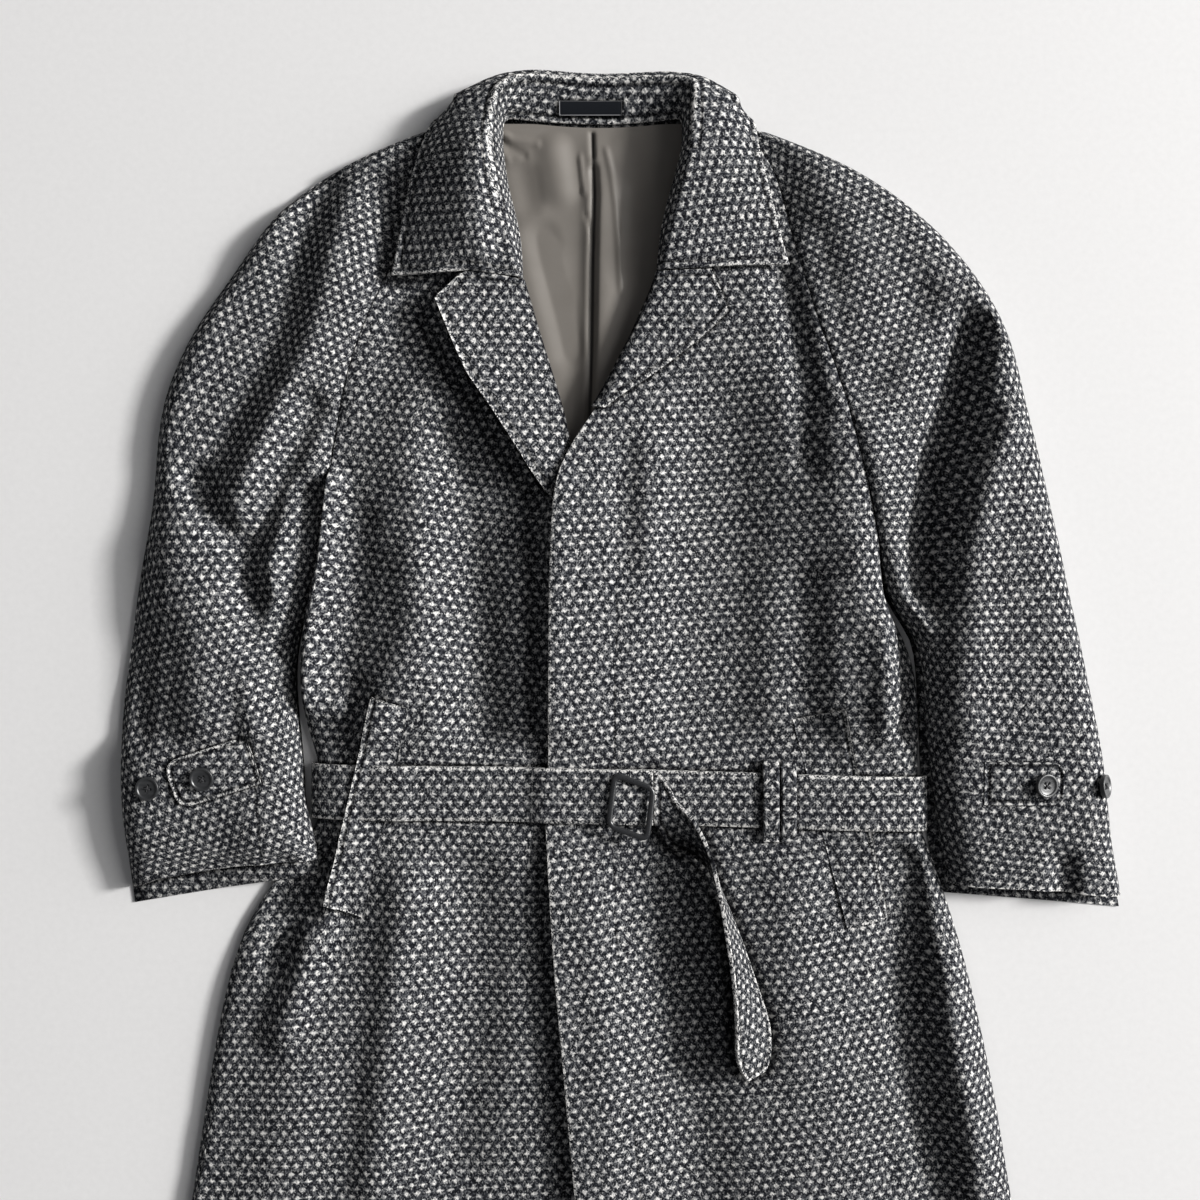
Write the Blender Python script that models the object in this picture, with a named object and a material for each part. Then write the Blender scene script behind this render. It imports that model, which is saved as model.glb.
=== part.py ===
"""A belted balmacaan coat laid flat, face up, on a surface.

The back lies on the surface, the fronts and sleeves lie on the back, and the collar, lapels, pocket
welts, cuff tabs and belt lie on those. X runs across the coat, Y up to the collar and Z up. The origin
is on the underside, at the middle of the waist. Left and right are the wearer's, so a left piece lies on
the +X side. Tables and sizes are in millimetres.
"""
import math
from collections import namedtuple

import bmesh
import bpy
from mathutils import Matrix, Vector
from mathutils.bvhtree import BVHTree

MM = 0.001

# Thicknesses and clearances
CLOTH = 2.0
COLLAR_CLOTH = 3.0
LAPEL_CLOTH = 2.4
LINING_CLOTH = 1.0
BELT_CLOTH = 4.0
SEAM = 0.3
FLOOR_SEAM = CLOTH + SEAM

# How the layers stand off each other
EDGE_LIFT = 9.0          # the lapping front's edge above the front under it
EDGE_LIFT_REACH = 55.0
EDGE_LIFT_START = 40.0   # the lift grows from nothing over this length below the neck's point
EDGE_LIFT_HEM = 0.55     # share of the lift that is left at the hem
EDGE_LIFT_HEM_REACH = 200.0
EDGE_LIFT_BELT = 0.5     # share of the lift that the belt presses out
UNDER_DROP = 4.5         # the front that runs under, below the common surface
UNDER_DROP_REACH = 38.0
LAP = 66.0               # how far one front runs under the other
ROLL_REACH = 26.0        # width of the round at an outer edge
VALLEY_REACH = 85.0      # width of the slope beside a raglan seam
FOLD_EDGE = 30.0         # folds fade out this near to an outer edge
LAPEL_SEAM = 1.2         # front's cut edge to the lapel's roll
LAPEL_BULGE = 2.0        # the lapel's belly between roll and edge
NECK_CLEARANCE = 5.0     # front's neck edge to the middle of the collar's stand
CUFF_TURN = 9.0          # the sleeve's back half reaches below its front half

# Belt and hardware
BELT_WIDTH = 52.0
BELT_UNDER_CLOTH = 2.4    # pressed flat by the coat that lies on it
LOOP_CLOTH = 3.0
TAB_CLOTH = 2.4
LABEL_CLOTH = 1.0
LABEL_PROBE = 1.5
PATCH_GAP = 0.5
BUTTON_RADIUS = 11.0
BUTTON_HEIGHT = 4.2
BUTTON_SIDES = 20
BUTTON_PROBES = (0.25, 0.5, 0.75, 0.9, 1.0, 1.05)
BUTTON_PROFILE = [(0.86, 0), (1.0, 0.3), (1.0, 0.72), (0.92, 1.0), (0.78, 1.0), (0.66, 0.74)]
BUCKLE_WIDTH = 44.0
BUCKLE_LENGTH = 54.0
BUCKLE_BAR = 5.6
BUCKLE_HEIGHT = 3.6
BUCKLE_TURN = math.radians(-19.7)
BUCKLE_SKEW = math.radians(12.6)
BUCKLE_CORNER = 9.5
BUCKLE_BEVEL = 1.1
BUCKLE_PROBE_X = 28
BUCKLE_PROBE_Y = 32

Body = namedtuple("Body", "y left right left_z crown right_z")
BODY = [
    Body(629, -125, 140, 15, 19, 15),
    Body(601, -152, 162, 18, 20, 18),
    Body(563, -171, 175, 22, 22, 22),
    Body(525, -188, 183, 24, 23, 24),
    Body(487, -203, 194, 25, 24, 26),
    Body(449, -220, 204, 25, 25, 26),
    Body(411, -234, 219, 24, 25, 26),
    Body(373, -244, 231, 22, 26, 25),
    Body(335, -251, 240, 20, 26, 23),
    Body(278, -259, 255, 16, 25, 18),
    Body(221, -268, 266, 12, 25, 10),
    Body(183, -277, 270, 7, 24, 2.3),
    Body(145, -286, 292, 2.3, 24, 2.3),
    Body(107, -287, 303, 2.3, 23, 2.3),
    Body(69, -283, 305, 2.3, 22, 2.3),
    Body(31, -270, 304, 2.3, 18, 2.3),
    Body(0, -268, 304, 2.3, 15, 2.3),
    Body(-35, -272, 306, 2.3, 17, 2.3),
    Body(-64, -298, 321, 2.3, 20, 2.3),
    Body(-92, -321, 328, 2.3, 21, 2.3),
    Body(-140, -345, 344, 2.3, 22, 2.3),
    Body(-197, -360, 358, 2.3, 23, 2.3),
    Body(-292, -376, 378, 2.3, 23, 2.3),
    Body(-387, -390, 393, 2.3, 22, 2.3),
    Body(-526, -411, 418, 2.3, 20, 2.3),
]

Sleeve = namedtuple("Sleeve", "y outer inner inner_z crown")
SLEEVES = {
    "right": [
        Sleeve(629, -173, -125, 15, 17),
        Sleeve(601, -239, -152, 18, 25),
        Sleeve(563, -297, -171, 22, 30),
        Sleeve(525, -330, -188, 24, 34),
        Sleeve(487, -355, -203, 25, 36),
        Sleeve(449, -383, -220, 25, 38),
        Sleeve(411, -403, -234, 24, 39),
        Sleeve(373, -417, -244, 22, 39),
        Sleeve(335, -423, -251, 20, 38),
        Sleeve(278, -427, -259, 16, 37),
        Sleeve(221, -437, -268, 12, 37),
        Sleeve(183, -443, -277, 7, 37),
        Sleeve(145, -447, -288, 2.3, 37),
        Sleeve(107, -453, -291, 2.3, 38),
        Sleeve(64, -457, -287, 2.3, 38),
        Sleeve(10, -459, -282, 2.3, 36),
        Sleeve(-20, -457, -281, 2.3, 35),
        Sleeve(-40, -453, -272, 2.3, 33),
        Sleeve(-83, -446, -267, 2.3, 29),
    ],
    "left": [
        Sleeve(629, 161, 140, 15, 16),
        Sleeve(601, 232, 162, 18, 25),
        Sleeve(563, 291, 175, 22, 30),
        Sleeve(525, 332, 183, 24, 34),
        Sleeve(487, 363, 194, 26, 37),
        Sleeve(449, 385, 204, 26, 40),
        Sleeve(411, 398, 219, 26, 42),
        Sleeve(373, 406, 231, 25, 42),
        Sleeve(335, 416, 240, 23, 42),
        Sleeve(278, 429, 255, 18, 42),
        Sleeve(221, 442, 266, 10, 42),
        Sleeve(183, 449, 272, 2.3, 42),
        Sleeve(164, 454, 289, 2.3, 42),
        Sleeve(141, 459, 304, 2.3, 42),
        Sleeve(100, 467, 309, 2.3, 41),
        Sleeve(64, 475, 311, 2.3, 40),
        Sleeve(10, 484, 316, 2.3, 38),
        Sleeve(-35, 488, 322, 2.3, 35),
        Sleeve(-95, 498, 333, 2.3, 31),
    ],
}
# How far the cuff's hem falls below its middle at the outer edge, and rises above it at the inner edge
CUFF_SLANT = {"right": 15.0, "left": 7.0}
CUFF_SLANT_TOP = 60.0

# Folds: a ridge has a positive height, a trough a negative one
Fold = namedtuple("Fold", "start_x start_y bend_x bend_y end_x end_y half_width height")
FOLDS = [
    # the wearer's right sleeve: shoulder, elbow and forearm
    Fold(-264, 573, -315, 440, -370, 335, 32, -12),
    Fold(-241, 544, -270, 425, -328, 285, 28, 11),
    Fold(-268, 354, -304, 293, -336, 215, 20, -9),
    Fold(-261, 335, -280, 269, -296, 215, 18, 6),
    Fold(-385, 300, -366, 266, -346, 232, 16, -6),
    Fold(-407, 259, -388, 150, -383, 60, 34, 6),
    Fold(-330, 180, -318, 140, -300, 80, 22, -6),
    # the wearer's left sleeve: the deep fold inside the elbow, the forearm and the shoulder
    Fold(331, 435, 315, 326, 309, 183, 36, -18),
    Fold(391, 392, 366, 288, 334, 164, 32, 8),
    Fold(290, 480, 262, 430, 256, 370, 22, -6),
    Fold(304, 511, 337, 468, 380, 425, 20, 5),
    Fold(200, 582, 230, 540, 244, 500, 26, 6),
    # beside the collar's leaves
    Fold(-152, 620, -185, 582, -200, 504, 33, -8),
    Fold(157, 620, 176, 563, 190, 504, 30, -8),
    # chest and waist
    Fold(-163, 373, -164, 202, -168, 66, 36, 9),
    Fold(-233, 278, -234, 164, -250, 66, 30, -8),
    Fold(-122, 330, -118, 200, -112, 66, 30, -8),
    Fold(-15, 290, -15, 180, -15, 66, 48, 5),
    Fold(112, 380, 110, 221, 102, 66, 58, -6),
    Fold(236, 345, 250, 221, 268, 75, 32, 7),
    # skirt
    Fold(270, -70, 272, -170, 318, -526, 30, -14),
    Fold(322, -130, 338, -254, 380, -500, 28, 10),
    Fold(-293, -110, -325, -180, -370, -480, 32, -8),
    Fold(-258, -100, -280, -165, -318, -420, 26, 8),
    Fold(-238, -100, -243, -180, -262, -400, 24, -6),
    Fold(-190, -70, -192, -200, -222, -526, 30, 9),
    Fold(-132, -70, -130, -180, -120, -400, 34, -5),
    Fold(180, -73, 190, -197, 215, -526, 48, 4),
    Fold(66, -102, 84, -244, 108, -526, 42, -5),
    Fold(-8, -90, 0, -250, 20, -526, 40, 4),
]

# Where a panel on the surface is carried over something that lies under it
Rise = namedtuple("Rise", "panels x_min x_max y_min y_max fade height")
COLLAR_RISE = Rise(("body", "left", "right"), -150, 144, 604, 700, 34, 4.8)
BELT_RISE = Rise(("body",), -500, 500, -37, 30, 14, 2.9)
SKIRT_RISE = Rise(("right",), -322, -200, -140, -36, 36, 12.0)
RISES = [COLLAR_RISE, BELT_RISE, SKIRT_RISE]
# Where the body is pressed flat by what lies on it
Press = namedtuple("Press", "x_min x_max y_min y_max fade height")
PRESSES = [Press(-345, -262, -112, -34, 26, 7.4)]

FrontEdge = namedtuple("FrontEdge", "y x")
FRONT_EDGE = [
    FrontEdge(349, -13), FrontEdge(331, -27), FrontEdge(309, -38), FrontEdge(283, -44),
    FrontEdge(247, -46), FrontEdge(193, -48), FrontEdge(27, -49), FrontEdge(-26, -52),
    FrontEdge(-73, -49), FrontEdge(-149, -45), FrontEdge(-244, -36), FrontEdge(-387, -23),
    FrontEdge(-526, -10),
]

# Collar: neck seam, crest of the roll, middle of the fall and outer edge, from notch to notch
Collar = namedtuple(
    "Collar", "neck_x neck_y neck_z crest_x crest_y crest_z mid_x mid_y mid_z edge_x edge_y edge_z"
)
COLLAR = [
    Collar(-74, 488, 21, -76, 489, 38, -131, 496, 36, -196, 499, 31),
    Collar(-76, 530, 18, -86, 531, 44, -133, 535, 40, -189, 529, 30),
    Collar(-87, 570, 15, -96, 570, 50, -135, 573, 43, -179, 571, 29),
    Collar(-93, 611, 13, -101, 609, 51, -131, 611, 43, -169, 606, 26),
    Collar(-93, 635, 11, -99, 639, 48, -130, 649, 37, -160, 637, 15),
    Collar(-90, 640, 10, -96, 652, 43, -135, 660, 26, -147, 638, 3),
    Collar(-84, 642, 10, -92, 663, 40, -130, 668, 18, -122, 622, 1.7),
    Collar(-57, 639, 9, -71, 677, 27, -83, 687, 13, -71, 618, 1.7),
    Collar(0, 636, 9, 0, 674, 20, 0, 681, 10, 0, 615, 1.7),
    Collar(52, 639, 9, 76, 675, 27, 88, 685, 13, 76, 618, 1.7),
    Collar(72, 642, 10, 87, 661, 40, 125, 666, 18, 117, 622, 1.7),
    Collar(77, 640, 10, 86, 650, 43, 128, 658, 26, 140, 638, 3),
    Collar(79, 635, 11, 86, 637, 45, 114, 648, 37, 147, 637, 15),
    Collar(78, 609, 13, 84, 609, 44, 116, 611, 42, 150, 606, 27),
    Collar(68, 573, 15, 78, 575, 41, 116, 571, 39, 160, 570, 27),
    Collar(58, 533, 18, 67, 537, 36, 109, 533, 35, 170, 530, 26),
    Collar(55, 496, 20, 57, 497, 31, 100, 498, 31, 179, 500, 26),
]

# The collar's section between its four given points: places along it, and how far it bulges there
COLLAR_RISE_AT = 0.55
COLLAR_RISE = 1.5
COLLAR_BROW_AT = 0.22
COLLAR_BROW = 1.2
COLLAR_TUCK_AT = 0.45
COLLAR_TUCK_DROP = 0.94   # behind the neck the leaf falls this far by then

# Lapels: roll line, outer edge, how high that edge stands over the front, and the roll's radius
Lapel = namedtuple("Lapel", "roll_x roll_y edge_x edge_y lift nose")
LAPELS = {
    "right": [
        Lapel(-70, 483, -127, 492, 14, 5), Lapel(-65, 466, -154, 464, 18, 5),
        Lapel(-56, 435, -141, 432, 21, 5), Lapel(-45, 400, -124, 393, 22, 5),
        Lapel(-34, 364, -103, 364, 20, 5), Lapel(-28, 335, -82, 332, 15, 4.5),
        Lapel(-22, 307, -65, 304, 9, 3.5), Lapel(-15, 278, -46, 278, 4.5, 2.8),
        Lapel(-8, 255, -25, 257, 3.5, 2.6),
    ],
    "left": [
        Lapel(52, 492, 105, 495, 3, 5), Lapel(46, 474, 115, 475, 3, 5), Lapel(38, 456, 122, 456, 4, 5),
        Lapel(28, 433, 100, 433, 3, 5), Lapel(11, 400, 54, 398, 2.5, 5), Lapel(-3, 374, 18, 375, 2, 4.5),
        Lapel(-9, 365, 5, 364, 2, 4),
    ],
}

# Patches on a panel: two long edges, given by their ends
Patch = namedtuple("Patch", "outer_top outer_foot inner_top inner_foot")
WELTS = {
    "right": Patch((-214, 93), (-260, -104), (-180, 81), (-223, -118)),
    "left": Patch((229, 81), (275, -119), (182, 70), (234, -129)),
}
Tab = namedtuple("Tab", "base_x base_y end_x end_y half_width")
TABS = {
    "right": Tab(-323, 34, -401, 9, 23.5),
    "left": Tab(359, 11.5, 434, 11.5, 20.6),
}
TAB_SHARES = (0, 0.15, 0.3, 0.45, 0.6, 0.75, 0.86, 0.94, 0.98, 1.0)
TAB_ROUND = 0.84          # from here on the tab's end is rounded
TAB_TIP = 0.45            # share of the width that its tip keeps
TAB_PROBE = 5.0
Button = namedtuple("Button", "name x y")
BUTTONS = [
    Button("button_right_tab", -370.8, 16.7), Button("button_right_cuff", -422.6, 6.8),
    Button("button_left_tab", 415.2, 10.2), Button("button_left_cuff", 472.5, 8),
]

BeltLine = namedtuple("BeltLine", "x y")
BELT_LINE = [BeltLine(-330, 3), BeltLine(-266, 2), BeltLine(0, -2), BeltLine(266, -9.5), BeltLine(330, -11)]
BELT_END = 50.0          # where the free end leaves the buckle
BELT_FIXED_END = 6.0     # where the fixed end stops under the buckle
BUCKLE_AT = (29.0, -11.0)

# Free end of the belt: its two edges, with their heights over the front
Tail = namedtuple("Tail", "far_x far_y far_z near_x near_y near_z")
TAIL = [
    Tail(61, 15, 8.2, 56, -34, 8.2), Tail(72, -6, 16, 66, -51, 11), Tail(86, -21, 30, 86, -58, 6),
    Tail(98, -43, 39, 101, -69, 4), Tail(106, -68, 45, 111, -87, 3), Tail(113, -102, 47, 121, -109, 3),
    Tail(119, -140, 46, 135, -144, 3), Tail(124, -178, 43, 148, -182, 3), Tail(126, -216, 40, 159, -216, 3),
    Tail(127, -246, 36, 160, -244, 3), Tail(137, -266, 24, 155, -260, 6),
]

Strip = namedtuple("Strip", "name x_min x_max")
LOOPS = [Strip("belt_loop", 153, 169), Strip("belt_keeper", 170.5, 185)]
LABEL = {"x_min": -39, "x_max": 21, "y_min": 643, "y_max": 656}
LINING = {"x_min": -118, "x_max": 108, "top": 634, "foot": 279, "top_curve": 4, "curve_at": 60}
LINING_FOLDS = [
    Fold(-6, 632, -4, 480, -6, 290, 9, 5),
    Fold(20, 610, 18, 480, 12, 290, 16, 4),
    Fold(-66, 602, -60, 560, -20, 555, 22, 4),
    Fold(-78, 520, -50, 430, -36, 300, 30, 5),
    Fold(56, 600, 50, 480, 30, 300, 26, 5),
]

TWEED = ((0.105, 0.108, 0.11), 0.95, 0.0)
LINING_SATIN = ((0.16, 0.145, 0.13), 0.4, 0.0)
LABEL_WEAVE = ((0.012, 0.014, 0.02), 0.6, 0.0)
HORN = ((0.03, 0.032, 0.035), 0.3, 0.0)
BUCKLE_COVER = ((0.035, 0.037, 0.04), 0.4, 0.0)

BODY_TOP = 629.0
BODY_FOOT = -526.0
ARMPIT = 145.0
UPPER_ROW = 27.0
SLEEVE_ROW = 32.0
SKIRT_ROW = 59.0
BELT_ROWS = [110, 76, 45, 30, 8, -14, -37, -51]
OVER_COLUMNS = 15
UNDER_COLUMNS = 13
SLEEVE_COLUMNS = 11
SLEEVE_BACK_COLUMNS = 4
BACK_COLUMNS = 7
LINING_COLUMNS = 16
COLLAR_COLUMNS = 11
COLLAR_ROWS = 33
TAIL_ROWS = 34
WELT_ROWS = 16
WELT_PROBE = 11.0         # how far round a spot the cloth under a welt is felt

surfaces = {}


def clamp(value, low=0.0, high=1.0):
    return min(max(value, low), high)


def soft_step(value):
    t = clamp(value)
    return t * t * (3 - 2 * t)


def mix(a, b, share):
    return a + (b - a) * share


def table_row(rows, at):
    """All columns of a table at one value of its first column, on a smooth curve through its rows."""
    sign = 1 if rows[-1][0] > rows[0][0] else -1
    keys = [sign * row[0] for row in rows]
    at_key = clamp(sign * at, keys[0], keys[-1])
    index = 0
    while index < len(keys) - 2 and at_key > keys[index + 1]:
        index += 1
    span = keys[index + 1] - keys[index]
    t = (at_key - keys[index]) / span

    def slope(k, column):
        low = max(k - 1, 0)
        high = min(k + 1, len(keys) - 1)
        return (rows[high][column] - rows[low][column]) / (keys[high] - keys[low]) * span

    blend = (2 * t**3 - 3 * t**2 + 1, t**3 - 2 * t**2 + t, -2 * t**3 + 3 * t**2, t**3 - t**2)
    values = [
        blend[0] * rows[index][c] + blend[1] * slope(index, c)
        + blend[2] * rows[index + 1][c] + blend[3] * slope(index + 1, c)
        for c in range(len(rows[0]))
    ]
    return type(rows[0])(*values)


def curve_points(points, count):
    """Points at even steps of a smooth curve through the given ones."""
    samples = []
    last = len(points) - 1
    for step in range(count):
        place = step / (count - 1) * last
        k = min(int(place), last - 1)
        t = place - k
        p0, p1, p2, p3 = (points[clamp(k + d, 0, last)] for d in (-1, 0, 1, 2))
        square = (2 * p0 - 5 * p1 + 4 * p2 - p3) * t**2
        cube = (3 * p1 - p0 - 3 * p2 + p3) * t**3
        samples.append(0.5 * (2 * p1 + (p2 - p0) * t + square + cube))
    return samples


def x_on_line(line, y):
    """X where a falling polyline of (x, y) points crosses a height on the plan."""
    for (x0, y0), (x1, y1) in zip(line, line[1:]):
        if y0 >= y >= y1:
            return x0 if y0 == y1 else mix(x0, x1, (y0 - y) / (y0 - y1))
    return line[0][0] if y > line[0][1] else line[-1][0]


def window(x, y, area):
    """1 inside a rectangle of the plan, falling to 0 over its fade."""
    out_x = max(area.x_min - x, x - area.x_max, 0)
    out_y = max(area.y_min - y, y - area.y_max, 0)
    return soft_step(1 - out_x / area.fade) * soft_step(1 - out_y / area.fade)


def bed(panel, x, y):
    """Height of the lowest layer's underside over the surface."""
    return max([0.0] + [rise.height * window(x, y, rise) for rise in RISES if panel in rise.panels])


def fold_height(folds, x, y):
    total = 0.0
    for fold in folds:
        points = [(fold.start_x, fold.start_y), (fold.bend_x, fold.bend_y), (fold.end_x, fold.end_y)]
        nearest = min(distance_to_run(x, y, a, b) for a, b in zip(points, points[1:]))
        if nearest < fold.half_width * 1.6:
            total += fold.height * 0.5 * (1 + math.cos(math.pi * clamp(nearest / (fold.half_width * 1.6))))
    return total


def distance_to_run(x, y, a, b):
    dx, dy = b[0] - a[0], b[1] - a[1]
    t = clamp(((x - a[0]) * dx + (y - a[1]) * dy) / (dx * dx + dy * dy))
    return math.hypot(x - a[0] - t * dx, y - a[1] - t * dy)


def edge_share(distance, edge_z, crown):
    """Share of the crown's height at a distance in from an edge: a round roll or a soft valley."""
    openness = clamp((crown - edge_z) / (crown - FLOOR_SEAM))
    reach = mix(VALLEY_REACH, ROLL_REACH, openness)
    power = mix(1.4, 2.0, openness)
    return (1 - (1 - clamp(distance / reach)) ** power) ** (1 / power)


def dome(x, low, high, low_z, crown, high_z):
    """Height across one panel of cloth, between its two edges."""
    from_low = edge_share(x - low, low_z, crown)
    from_high = edge_share(high - x, high_z, crown)
    return crown - (crown - low_z) * (1 - from_low) - (crown - high_z) * (1 - from_high)


def open_edge(distance, edge_z):
    """0 on an outer edge, 1 well inside it or beside a seam that is held up."""
    held = soft_step((edge_z - FLOOR_SEAM) / 12)
    return max(held, soft_step(distance / FOLD_EDGE))


def body_height(x, y):
    row = table_row(BODY, y)
    height = dome(x, row.left, row.right, row.left_z, row.crown, row.right_z)
    inside = open_edge(x - row.left, row.left_z) * open_edge(row.right - x, row.right_z)
    height += fold_height(FOLDS, x, y) * inside
    for press in PRESSES:
        height = mix(height, min(height, press.height), window(x, y, press))
    return bed("body", x, y) + max(height, FLOOR_SEAM)


def sleeve_height(side, x, y):
    row = table_row(SLEEVES[side], y)
    low, high = sorted(((row.outer, FLOOR_SEAM), (row.inner, row.inner_z)))
    height = dome(x, low[0], high[0], low[1], row.crown, high[1])
    inside = open_edge(x - low[0], low[1]) * open_edge(high[0] - x, high[1])
    height += fold_height(FOLDS, x, y) * inside
    return bed(side, x, y) + max(height, FLOOR_SEAM)


def front_edge_x(y):
    return table_row(FRONT_EDGE, y).x


def over_height(x, y):
    """The front that laps over: its edge stands off the front under it."""
    near = 1 - soft_step((x - front_edge_x(y)) / EDGE_LIFT_REACH)
    below_v = soft_step((FRONT_EDGE[0].y + EDGE_LIFT_START / 4 - y) / EDGE_LIFT_START)
    hem = mix(EDGE_LIFT_HEM, 1.0, soft_step((y - BODY_FOOT) / EDGE_LIFT_HEM_REACH))
    pressed = 1 - EDGE_LIFT_BELT * window(x, y, BELT_RISE)
    return body_height(x, y) + EDGE_LIFT * near * below_v * hem * pressed


def under_height(x, y):
    """The front that runs under: it sinks below the common surface towards the lap."""
    sunk = soft_step((x - front_edge_x(y) + UNDER_DROP_REACH) / UNDER_DROP_REACH)
    below_v = soft_step((FRONT_EDGE[0].y - y + 60) / 60)
    return body_height(x, y) - UNDER_DROP * sunk * below_v


def material(name, finish):
    colour, roughness, metallic = finish
    made = bpy.data.materials.new(name)
    made.use_nodes = True
    shader = made.node_tree.nodes["Principled BSDF"]
    shader.inputs["Base Color"].default_value = (*colour, 1)
    shader.inputs["Roughness"].default_value = roughness
    shader.inputs["Metallic"].default_value = metallic
    made.diffuse_color = (*colour, 1)
    return made


def add_object(name, bm, finish, place=None):
    """One named object from a mesh in millimetres, with its own material."""
    bmesh.ops.recalc_face_normals(bm, faces=bm.faces)
    surfaces[name] = BVHTree.FromBMesh(bm)
    mesh = bpy.data.meshes.new(name)
    bmesh.ops.scale(bm, vec=(MM, MM, MM), verts=bm.verts)
    bm.to_mesh(mesh)
    bm.free()
    mesh.shade_smooth()
    mesh.set_sharp_from_angle(angle=math.radians(50))
    mesh.materials.append(material(name, finish))
    made = bpy.data.objects.new(name, mesh)
    if place:
        made.matrix_world = place
    bpy.context.scene.collection.objects.link(made)
    return made


def shell(name, upper, lower, finish):
    """A closed wall between two grids of points, one over the other."""
    bm = bmesh.new()
    rows, columns = len(upper), len(upper[0])
    top = [[bm.verts.new(p) for p in row] for row in upper]
    base = [[bm.verts.new(p) for p in row] for row in lower]
    for i in range(rows - 1):
        for j in range(columns - 1):
            bm.faces.new((top[i][j], top[i + 1][j], top[i + 1][j + 1], top[i][j + 1]))
            bm.faces.new((base[i][j], base[i][j + 1], base[i + 1][j + 1], base[i + 1][j]))
    ring = [(0, j) for j in range(columns - 1)] + [(i, columns - 1) for i in range(rows - 1)]
    ring += [(rows - 1, j) for j in range(columns - 1, 0, -1)] + [(i, 0) for i in range(rows - 1, 0, -1)]
    for (i, j), (k, m) in zip(ring, ring[1:] + ring[:1]):
        bm.faces.new((top[i][j], top[k][m], base[k][m], base[i][j]))
    return add_object(name, bm, finish)


def grid_normals(grid):
    """A unit normal at each point of a grid, from its neighbours."""
    rows, columns = len(grid), len(grid[0])
    normals = []
    for i in range(rows):
        normals.append([])
        for j in range(columns):
            along = grid[min(i + 1, rows - 1)][j] - grid[max(i - 1, 0)][j]
            across = grid[i][min(j + 1, columns - 1)] - grid[i][max(j - 1, 0)]
            normals[i].append(across.cross(along).normalized())
    return normals


def cloth_below(grid, thickness, floor_of):
    """The inner face of a panel whose outer face is a grid over the plan."""
    inner = []
    rows, columns = len(grid), len(grid[0])
    for i, normals in enumerate(grid_normals(grid)):
        inner.append([])
        for j, normal in enumerate(normals):
            if normal.z < 0:
                normal = -normal
            point = grid[i][j]
            at_end = i in (0, rows - 1)
            if j in (0, columns - 1) or at_end:
                steep = normal.z < 0.55 and not at_end
                flat = Vector((normal.x, normal.y, 0))
                normal = flat.normalized() if steep else Vector((0, 0, 1))
            offset = point - normal * thickness
            offset.z = max(offset.z, floor_of(offset.x, offset.y) + FLOOR_SEAM)
            inner[i].append(offset)
    return inner


def even_rows(top, foot, step):
    count = max(round((top - foot) / step), 1)
    return [mix(top, foot, k / count) for k in range(count + 1)]


def eased(count):
    """Shares from 0 to 1, closer together at both ends."""
    return [(1 - math.cos(math.pi * k / count)) / 2 for k in range(count + 1)]


def lapel_line(side):
    """The front's cut edge under the lapel, just behind the roll."""
    line = []
    for row in LAPELS[side]:
        roll = Vector((row.roll_x, row.roll_y))
        out = (Vector((row.edge_x, row.edge_y)) - roll).normalized()
        line.append(tuple(roll + out * (row.nose + LAPEL_SEAM)))
    return line


def neck_line(side):
    """The front's neck edge under the collar's stand."""
    sign = -1 if side == "right" else 1
    rows = COLLAR[:4] if side == "right" else COLLAR[-4:]
    line = [(row.neck_x + sign * NECK_CLEARANCE, row.neck_y) for row in rows]
    return sorted(line, key=lambda point: -point[1])


def upper_rows():
    """Sections from the neck to the armpits, shared by the body and the sleeves so that seams meet."""
    return even_rows(BODY_TOP, ARMPIT, UPPER_ROW)


def body_rows():
    return upper_rows() + BELT_ROWS + even_rows(BELT_ROWS[-1], BODY_FOOT, SKIRT_ROW)[1:]


def make_fronts():
    rows = body_rows()
    over_line = neck_line("left") + lapel_line("left") + [(edge.x, edge.y) for edge in FRONT_EDGE[1:]]
    under_line = neck_line("right") + lapel_line("right")
    under_line += [(edge.x + LAP, edge.y) for edge in FRONT_EDGE[5:]]

    def floor_of(x, y):
        return bed("body", x, y)

    panels = (
        ("front_left", over_height, OVER_COLUMNS),
        ("front_right", under_height, UNDER_COLUMNS),
    )
    for name, height, columns in panels:
        grid = []
        for y in rows:
            row = table_row(BODY, y)
            if name == "front_left":
                low, high = x_on_line(over_line, y), row.right - SEAM / 2
            else:
                low, high = row.left + SEAM / 2, x_on_line(under_line, y)
            xs = [mix(low, high, share) for share in eased(columns)]
            grid.append([Vector((x, y, height(x, y))) for x in xs])
        shell(name, grid, cloth_below(grid, CLOTH, floor_of), TWEED)


def sleeve_span(side, y):
    row = table_row(SLEEVES[side], y)
    sign = 1 if row.inner > row.outer else -1
    return row.outer, row.inner - sign * SEAM / 2


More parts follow.
